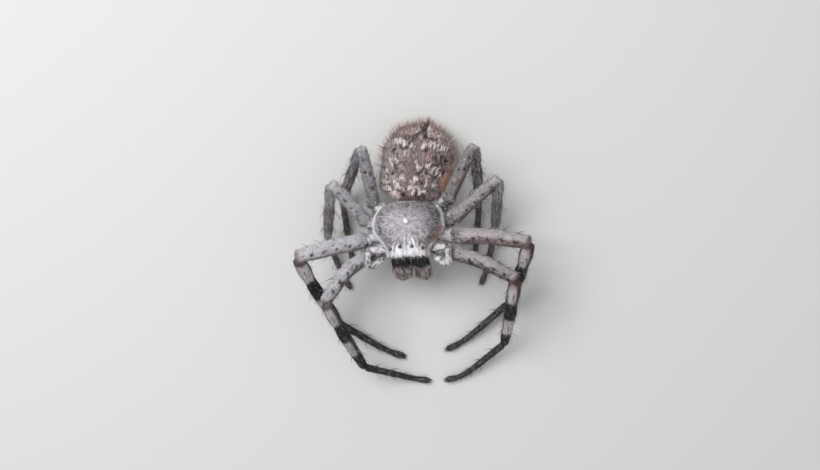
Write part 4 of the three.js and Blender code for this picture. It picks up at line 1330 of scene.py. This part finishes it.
def blades(f, length, width, *, lift, curl=0.3, rings=1, thin=0.5, sink=0.06, jitter=0.25):
    """Hairs at the places f. Along t from 0 to 1 the middle of a hair is the root plus length times
    t·cos(lift) along its lie plus (t·sin(lift) - curl·t²·sin(lift)) along the normal; its width falls as 1
    - t to the power TAPER. Returns the points of each hair: three for each ring, and the tip."""
    n = len(f.point)
    length, width, lift = (np.broadcast_to(x, n)[:, None] for x in (length, width, lift))
    across = unit(np.cross(f.lie, f.normal))
    lie = unit(f.lie + across * RNG.normal(0, jitter, (n, 1)))
    across = unit(np.cross(lie, f.normal))
    lift = lift * RNG.uniform(0.7, 1.3, (n, 1))
    corners = []
    for t in np.linspace(0, 1, rings + 1):
        rise = np.sin(lift) * (t - curl * t**2) * length - sink * (t == 0)
        middle = f.point + lie * np.cos(lift) * t * length + f.normal * rise
        half = width / 2 * (1 - t) ** TAPER
        corners += [middle - across * half, middle + across * half, middle + f.normal * half * 2 * thin]
    return np.stack([*corners[:-3], middle], axis=1)


def blade_faces(count, rings):
    """The cap at the root first, then the underside and the two upper sides, ring by ring, as index
    arrays."""
    size = 3 * rings + 1
    tris, quads = [(0, 1, 2)], []
    for k in range(rings - 1):
        a, b, c, d, e, f = range(3 * k, 3 * k + 6)
        quads += [(b, a, d, e), (a, c, f, d), (c, b, e, f)]
    a, b, c = range(3 * rings - 3, 3 * rings)
    tris += [(b, a, size - 1), (a, c, size - 1), (c, b, size - 1)]
    first = np.arange(count)[:, None, None] * size
    kinds = [kind for kind in (tris, quads) if kind]
    return [(first + np.array(kind)).transpose(1, 0, 2).reshape(-1, len(kind[0])) for kind in kinds]


print("faces of one hair with two rings:", [face.tolist() for face in blade_faces(1, 2)])

# %% [markdown]
# ## Roots
# Hair grows all over a form, as thickly on its narrow ends as on its middle. So random places are thinned
# out until equal areas hold equal numbers, and those that would grow inside a neighbour or an eye are
# dropped.

# %% Where hairs grow
EYE_CLEARING = 0.4
ROOT_HEIGHT = 0.06
TRIES = 4000


def pick(f, keep):
    """The same record with only some of its rows."""
    return SimpleNamespace(**{k: v[keep] if isinstance(v, np.ndarray) else v for k, v in vars(f).items()})


def overlaps(form, other, margin=0.3):
    """Whether the boxes of two forms meet."""
    return bool(np.all(form.box[0] < other.box[1] + margin) and np.all(other.box[0] < form.box[1] + margin))


def within(form, points):
    """Which points lie inside a form: at the nearest place of its line, the offset's two parts over the
    half sizes, each to the power 2 over squareness, add to less than one."""
    near = np.all((points > form.box[0] - 0.05) & (points < form.box[1] + 0.05), axis=1)
    inside = np.zeros(len(points), bool)
    if not near.any():
        return inside
    local = (points[near] - form.origin) @ form.turned
    shares = np.linspace(0, 1, 49)
    spots = form.line.at(shares)
    blocks = np.array_split(local, len(local) // TRIES + 1)
    best = np.concatenate([((rows[:, None] - spots) ** 2).sum(axis=2).argmin(axis=1) for rows in blocks])
    along = form.line.aim(shares)[best]
    share = np.clip(shares[best] + ((local - spots[best]) * along).sum(axis=1) / form.line.length, 0, 1)
    across = unit(np.cross(along, form.up))
    offset = local - form.line.at(share)
    x, y, z = ((offset * axis).sum(axis=1) for axis in (across, np.cross(across, along), along))
    wide, high, low, square = (np.broadcast_to(v, share.shape) for v in form.section(share))
    size = np.sqrt(np.maximum(1e-6, form.swell(share)))
    tall = np.where(y > 0, high, low) - form.depth
    measure = ((np.abs(x) / (size * (wide - form.depth))) ** (2 / square)
               + (np.abs(y) / (size * tall)) ** (2 / square))
    inside[near] = (measure < 1) & (np.abs(z) < 0.15)
    return inside


def scatter(form, per_mm2, weight):
    """Roots spread over a form by area: tries at random shares and turns are kept as often as the area and
    the weight there are large. Roots inside another form, in an eye or under the floor are left out."""
    tries = form.feel(RNG.random(TRIES), RNG.random(TRIES))
    most = (tries.area * weight(tries)).max()
    count = int(per_mm2 * most)
    f = form.feel(RNG.random(count), RNG.random(count))
    f = pick(f, RNG.random(count) < f.area * weight(f) / most)
    hidden = f.point[:, 2] < ROOT_HEIGHT
    for other in FLESH:
        if other is not form and overlaps(form, other):
            hidden |= within(other, f.point)
    if form is carapace:
        for spot in EYE_SPOTS.values():
            hidden |= np.linalg.norm(f.local - spot, axis=1) < EYE_CLEARING
    f = pick(f, ~hidden)
    lie = f.along if form.lie is None else form.lie(f.local) @ form.turned.T
    f.lie = unit(lie - f.normal * (lie * f.normal).sum(axis=1, keepdims=True))
    return f


print("neighbours of the shield:", [form.name for form in FLESH if overlaps(carapace, form)][:6])

# %% [markdown]
# ## A piece of coat
# Hairs of several kinds on several forms make one piece. Each hair takes the colour of the skin at its
# root, a little lighter or darker by chance, and has its own small patch on the OFBake map where its root
# is: across the map goes the share along the form, and up it, in a band for each form, the turn round it.

# %% Growing a coat
PATCH = 0.003
BAND_EDGE = 0.01
MAP_EDGE = 0.004
LOWEST_HAIR = 0.012
PALENESS, DARKNESS = 0.55, 0.75


def everywhere(f):
    """The same weight all over."""
    return 1


def grow(form, per_mm2, length, width, lift, rings=1, weight=everywhere, spread=0.35, bright=0.1, dark=0.12,
         fade=None, tint=0.28, **bend):
    """One kind of hair on one form: its points, its tone, and its root's share and turn. A length varies by
    its spread, a tone by its tint; shares of the hairs are nearly white or black, and fade blends all to a
    colour."""
    f = scatter(form, per_mm2, weight)
    n = len(f.share)
    length = length * RNG.uniform(1 - spread, 1 + spread, n)
    points = blades(f, length, width * RNG.uniform(0.75, 1.25, n), lift=lift, rings=rings, **bend)
    points[..., 2] = np.maximum(points[..., 2], LOWEST_HAIR)
    tone = form.paint(f.local, f.share, f.turn) * RNG.uniform(1 - tint, 1 + tint, (n, 1))
    chance = RNG.random(n)
    tone = layered(tone, (WHITE, PALENESS * (chance < bright)), (SOOT, DARKNESS * (chance > 1 - dark)),
                   *([fade] if fade else []))
    u = MAP_EDGE + (1 - 2 * MAP_EDGE) * f.share
    v = BAND_EDGE + (1 - 2 * BAND_EDGE) * f.turn
    return rings, points, tone, u, v


def patches(rings, u, v):
    """The map of each hair: a small leaning strip at its root's place, one PATCH long, which narrows to the
    tip. Returns the share of the way to the tip for each point, and the points' places on the map."""
    t = np.append(np.repeat(np.arange(rings) / rings, 3), 1.0)
    side = np.append(np.tile([-1.0, 1.0, 0.0], rings), 0.0) * (1 - t * 0.6)
    lean = np.append(np.tile([0.0, 0.0, 0.18], rings), 0.0)
    uv = np.stack([u[:, None] + PATCH / 2 * side, v[:, None] + PATCH * (t - 0.5 + lean * (1 - t))], axis=-1)
    return np.tile(t, len(u)), uv


def coat(name, slot, kinds):
    """One piece of coat. Each kind is a form, a number of hairs per square millimetre and their shape. Each
    form has a band of the map as high as its share of the forms' length."""
    forms = list(dict.fromkeys(form for form, _, _ in kinds))
    heights = np.array([form.line.length for form in forms])
    heights = heights / heights.sum()
    starts = np.append(0, np.cumsum(heights))
    rows = {1: [], 2: []}
    for form, per_mm2, shape in kinds:
        rings, points, tone, u, v = grow(form, per_mm2, **shape)
        k = forms.index(form)
        rows[rings].append((points, tone, u, starts[k] + heights[k] * v))
    first, columns, faces = 0, [], []
    for rings, batch in rows.items():
        if batch:
            points, tone, u, v = (np.concatenate(part) for part in zip(*batch))
            n, size = points.shape[:2]
            tip, uv = patches(rings, u, v)
            columns.append((points.reshape(-1, 3), np.repeat(tone, size, axis=0), tip, uv.reshape(-1, 2)))
            faces += [face + first for face in blade_faces(n, rings)]
            first += n * size
    points, tone, tip, uv = (np.concatenate(part) for part in zip(*columns))
    piece = put(name, points, faces, slot=slot, material=COAT, tone=tone, tip=tip)
    corner = np.concatenate([face.ravel() for face in faces])
    layer = piece.data.uv_layers.new(name="OFBake")
    layer.data.foreach_set("uv", np.clip(uv[corner], 0.0005, 0.9995).astype(np.float32).ravel())
    print(name + ":", sum(len(face) * (face.shape[1] - 2) for face in faces), "triangles")


print("a hair's patch is", PATCH, "of the map")

# %% [markdown]
# ## The legs' coat
# Short hair lies flat towards the foot and gives the pattern. Longer fine hair stands off it, most on the
# hind shins, and a shaggy tuft covers each hip. One length of hair would look clipped, so each segment has
# at least two.

# %% Coats of the legs


def upper(f):
    """1 on the upper side, a half underneath."""
    return 0.5 + 0.5 * ease(f.normal[:, 2], -0.6, 0.2)


def hip_end(f):
    """The first part of a thigh, next to the hip."""
    return 1 - ease(f.share, 0.03, 0.17)


SHORT = dict(length=0.34, width=0.066, lift=0.32, jitter=0.22, dark=0.04, tint=0.32)
FINE = dict(width=0.036, curl=0.2, rings=2, bright=0.45, dark=0.15, spread=0.5, jitter=0.35, lift=0.8)
for leg in legs:
    hind = leg.pair > 2
    shin_hair = dict(FINE, length=1.25) if hind else dict(FINE, length=0.9, bright=0.12)
    coat("coat_" + leg.name, "leg_coat", [
        (leg.coxa, 80, dict(SHORT, length=0.45, lift=0.45, jitter=0.4)),
        (leg.coxa, 34, dict(length=0.95, width=0.062, lift=0.6, curl=0.5, rings=2, jitter=0.6, bright=0.5,
                            dark=0.22, weight=upper)),
        (leg.femur, 60, dict(length=0.8, width=0.06, lift=0.5, curl=0.4, rings=2, jitter=0.5, bright=0.45,
                             dark=0.2, weight=hip_end)),
        (leg.femur, 90, dict(SHORT, bright=0.08)),
        (leg.femur, 5 if hind else 3, dict(FINE, length=0.75)),
        (leg.shin, 90, dict(SHORT, bright=0.04)),
        (leg.shin, 10 if hind else 5, shin_hair),
        (leg.foot, 85, dict(SHORT, bright=0.04)),
        (leg.foot, 8, dict(FINE, length=0.85, bright=0.2))])

# %% [markdown]
# ## The shield's coat
# The hair of the shield is short and is combed away from the pit, so it points forwards on the head. Stiff
# white hair stands along the rim, and over the front eyes it hangs down in a ragged line. The white of the
# rim could be painted alone, but only hair that stands up breaks the outline as it does on the animal.

# %% Coats of the shield


def carapace_lie(local):
    """Combed outwards from the pit, and so forwards on the head: the direction from the pit, level."""
    return unit(np.column_stack([local[:, 0], local[:, 1] - FOVEA[1], np.full(len(local), -0.3)]))


def rim(f):
    """How much a place belongs to the rim of the shield, behind the face."""
    bare = bump(f.local[:, 1], *WORN) * (f.local[:, 0] > 0)
    near = 1 - ease(to_edge(f.local, f.share), 0.1, 0.4)
    return near * ease(f.share, 0.02, 0.12) * (f.local[:, 2] > 0.1) * (1 - 0.9 * bare)


def front_plate(f):
    """The low front of the shield, below the eyes."""
    return ease(-f.local[:, 1], 4.85, 5.0)


def brow(f):
    """A ragged line above the front eyes, where white hair hangs over the dark front."""
    x, y, z = f.local.T
    ragged = mottle(np.column_stack([x, 0 * x, 0 * x]), 0.4, 21)
    across = (1 - ease(np.abs(x - 0.1), 2.4, 2.8)) * (1 - 0.8 * bump(x, 0.3, 0.9))
    return bump(y, -4.6, 0.16) * (z > 1.2) * ease(ragged, 0.3, 0.6) * across


carapace.lie = carapace_lie
coat("coat_carapace", "carapace_coat", [
    (carapace, 215, dict(length=0.27, width=0.05, lift=0.35, jitter=0.16, spread=0.3, dark=0.05, bright=0.05,
                         tint=0.3)),
    (carapace, 120, dict(length=0.38, width=0.055, lift=1.0, curl=0.2, jitter=0.3, spread=0.3, dark=0.01,
                         bright=0.3, tint=0.1, fade=(SNOW, 0.85), weight=rim)),
    (carapace, 5, dict(length=0.5, width=0.036, lift=0.7, rings=2, bright=0.5, dark=0.2, tint=0.2))])
coat("coat_brow", "carapace_coat", [
    (carapace, 260, dict(length=0.36, width=0.045, lift=0.5, jitter=0.2, dark=0.02, bright=0.02,
                         weight=front_plate)),
    (carapace, 110, dict(length=0.75, width=0.045, lift=0.5, curl=0.4, rings=2, jitter=0.35, dark=0.03,
                         bright=0.4, tint=0.1, fade=(FACE_WHITE, 0.9), weight=brow))])

# %% [markdown]
# ## The abdomen's coat
# Flat hair in two lengths gives the tufted back, and long loose hair stands off the rear and the flanks,
# where it shows against the light. The long hair is a piece of its own, to keep each piece small.

# %% Coats of the abdomen


def fringe(f):
    """Where long hair stands off the abdomen: its rear and its flanks, seen from above."""
    edge = 1 - ease(np.abs(f.normal[:, 2]), 0.25, 0.7)
    return edge * ease(f.share, 0.2, 0.5) * (0.5 + 0.5 * ease(f.share, 0.6, 0.9))


coat("coat_abdomen", "abdomen_coat", [
    (abdomen, 80, dict(length=0.32, width=0.075, lift=0.35, jitter=0.2, spread=0.3, dark=0.06, bright=0.04,
                       tint=0.3, weight=upper)),
    (abdomen, 55, dict(length=0.5, width=0.065, lift=0.55, jitter=0.25, spread=0.3, dark=0.1, bright=0.06,
                       tint=0.35, weight=upper))])
coat("coat_abdomen_long", "abdomen_coat", [
    (abdomen, 6, dict(length=0.8, width=0.042, lift=0.8, curl=0.3, rings=2, bright=0.3, dark=0.1, spread=0.4,
                      jitter=0.4, tint=0.2, fade=(CREAM, 0.3))),
    (abdomen, 17, dict(length=1.5, width=0.065, lift=1.2, curl=0.1, rings=2, bright=0.15, dark=0.3,
                       spread=0.3, jitter=0.7, tint=0.4, fade=((0.3, 0.19, 0.16), 0.6), weight=fringe))])

# %% [markdown]
# ## The coat of the face and the underside
# Palps have short hair with a few long ones. Over the jaws hang coarse bristles, which start below their
# black root. Breastplate, mouth and spinnerets are thinly covered.

# %% Coats of palps, jaws and underside


def below_black(f):
    """The part of a jaw below its black root."""
    return ease(f.share, 0.25, 0.6)


BARE_PARTS = ("sternum", "labium", "pedicel", "maxilla", "spinneret")
kinds = []
for form in PALPS:
    kinds += [(form, 100, dict(length=0.36, width=0.055, lift=0.35, jitter=0.25, dark=0.05, tint=0.3)),
              (form, 12, dict(length=0.7, width=0.042, lift=0.6, rings=2, bright=0.5, dark=0.15))]
for form in JAWS:
    kinds += [(form, 80, dict(length=0.5, width=0.05, lift=0.3, bright=0.03, tint=0.3)),
              (form, 70, dict(length=0.95, width=0.04, lift=0.45, curl=0.4, rings=2, jitter=0.2, bright=0.12,
                              dark=0.2, tint=0.35, weight=below_black))]
kinds += [(form, 40, dict(length=0.42, width=0.07, lift=0.35))
          for form in FLESH if form.name.startswith(BARE_PARTS)]
coat("coat_face", "jaw_coat", kinds)

# %% [markdown]
# ## Spines
# Stiff black spines stand in rows along thighs, shins and feet, and lean towards the foot. They are made as
# the hairs are, but thicker and with more rings, and each is put at its own listed place, give or take a
# few degrees, instead of by chance.

# %% Spines
SPINE_LENGTH = 1.8
SPINE_WIDTH = 0.115
SMALL_SIZE = 0.75
spines = []
for leg in legs:
    for part in SPINES:
        form = getattr(leg, part)
        rows = SPINES[part] + SMALL_SPINES[part]
        share, degrees = np.array(rows).T
        degrees = degrees + RNG.normal(0, 2, len(rows))
        f = form.feel(share, turn_of(degrees, leg.side))
        f.lie = f.along
        small = np.arange(len(rows)) >= len(SPINES[part])
        size = RNG.uniform(0.85, 1.2, len(rows)) * np.where(small, SMALL_SIZE, 1.0)
        spines.append(blades(f, SPINE_LENGTH * size, SPINE_WIDTH, lift=0.56, curl=0.15, rings=3, thin=0.85,
                             sink=0.1, jitter=0.05))
spines = np.concatenate(spines)
spines[..., 2] = np.maximum(spines[..., 2], FLOOR_GAP)
put("spines", spines.reshape(-1, 3), blade_faces(len(spines), 3), slot="leg_coat", material=SPINE)
print("spines:", len(spines))

# %% [markdown]
# ## Claws
# Each foot ends in two small hooked claws, side by side. They are the same blades once more, bent down so
# far that they come back to the floor, and a jitter of 0 keeps them in line, so that only their lift varies
# a little.

# %% Claws
claws = []
for leg in legs:
    aim = leg.foot.line.aim(np.array([1.0]))
    tip = leg.foot.line.at(np.array([1.0])) - aim * 0.12
    across = unit(np.cross(aim, UP))
    for side in (-1, 1):
        f = SimpleNamespace(point=tip + across * 0.16 * side, normal=UP[None],
                            lie=unit(aim + across * 0.25 * side))
        claws.append(blades(f, 0.6, 0.16, lift=0.35, curl=1.9, rings=3, thin=0.7, sink=0.0, jitter=0.0))
claws = np.concatenate(claws)
claws[..., 2] = np.maximum(claws[..., 2], FLOOR_GAP)
put("claws", claws.reshape(-1, 3), blade_faces(len(claws), 3), slot="fang", material=HORN)

total = 0
for piece in bpy.data.objects:
    if piece.type == "MESH" and piece.name not in frame["nodes"]:
        piece.data.calc_loop_triangles()
        total += len(piece.data.loop_triangles)
print("claws:", len(claws), "and triangles in all:", total)

# %% [markdown]
# ## Floor and light
# A plain pale floor lets the outline and the fine hairs show. The light is soft and comes from high on one
# side, over an even pale surrounding, as under an open sky. A sun lamp would cast hard shadows of every
# hair, and a broad one doesn't.

# %% Floor and light
FLOOR_HALF = 400.0
corners = np.array([[-1, -1, 0], [1, -1, 0], [1, 1, 0], [-1, 1, 0]]) * FLOOR_HALF
floor_mesh = bpy.data.meshes.new("floor")
floor_mesh.from_pydata((corners * MM).tolist(), [], [(0, 1, 2, 3)])
floor_mesh.materials.append(Look("floor", Base_Color=(0.42, 0.42, 0.41, 1), Roughness=0.8).material)
floor = bpy.data.objects.new("floor", floor_mesh)
bpy.context.scene.collection.objects.link(floor)

world = bpy.data.worlds.new("studio")
bpy.context.scene.world = world
world.use_nodes = True
world.node_tree.nodes["Background"].inputs["Color"].default_value = (0.96, 0.97, 1.0, 1)
world.node_tree.nodes["Background"].inputs["Strength"].default_value = 0.8
lamp = bpy.data.objects.new("key", bpy.data.lights.new("key", "AREA"))
bpy.context.scene.collection.objects.link(lamp)
lamp.data.energy = 1.65
lamp.data.size = 0.22
lamp.location = (-0.15, 0.14, 0.3)
lamp.rotation_euler = (math.radians(-22), math.radians(-27), 0)
bpy.context.scene.view_settings.view_transform = "Standard"
print("lamp of", round(lamp.data.size / MM), "mm at", [round(c / MM) for c in lamp.location], "mm")

# %% [markdown]
# ## Camera
# The camera looks down on the back from the photo's angle, a hand's length away, with a lens that frames
# the spider as the photo does.

# %% Camera
CAMERA_PLACE = np.array([0.16, 15.77, 168.22])
CAMERA_TILT = -6
camera = bpy.data.objects.new("camera", bpy.data.cameras.new("camera"))
bpy.context.scene.collection.objects.link(camera)
bpy.context.scene.camera = camera
camera.location = (CAMERA_PLACE + SHIFT) * MM
camera.rotation_euler = (math.radians(CAMERA_TILT), 0, 0)
camera.data.lens = 43.9
camera.data.clip_start = 0.01
print("camera at", np.round(np.array(camera.location) / MM, 1), "mm")

# %% [markdown]
# ## Size and finish
# The hair may stand a little proud of the solids.
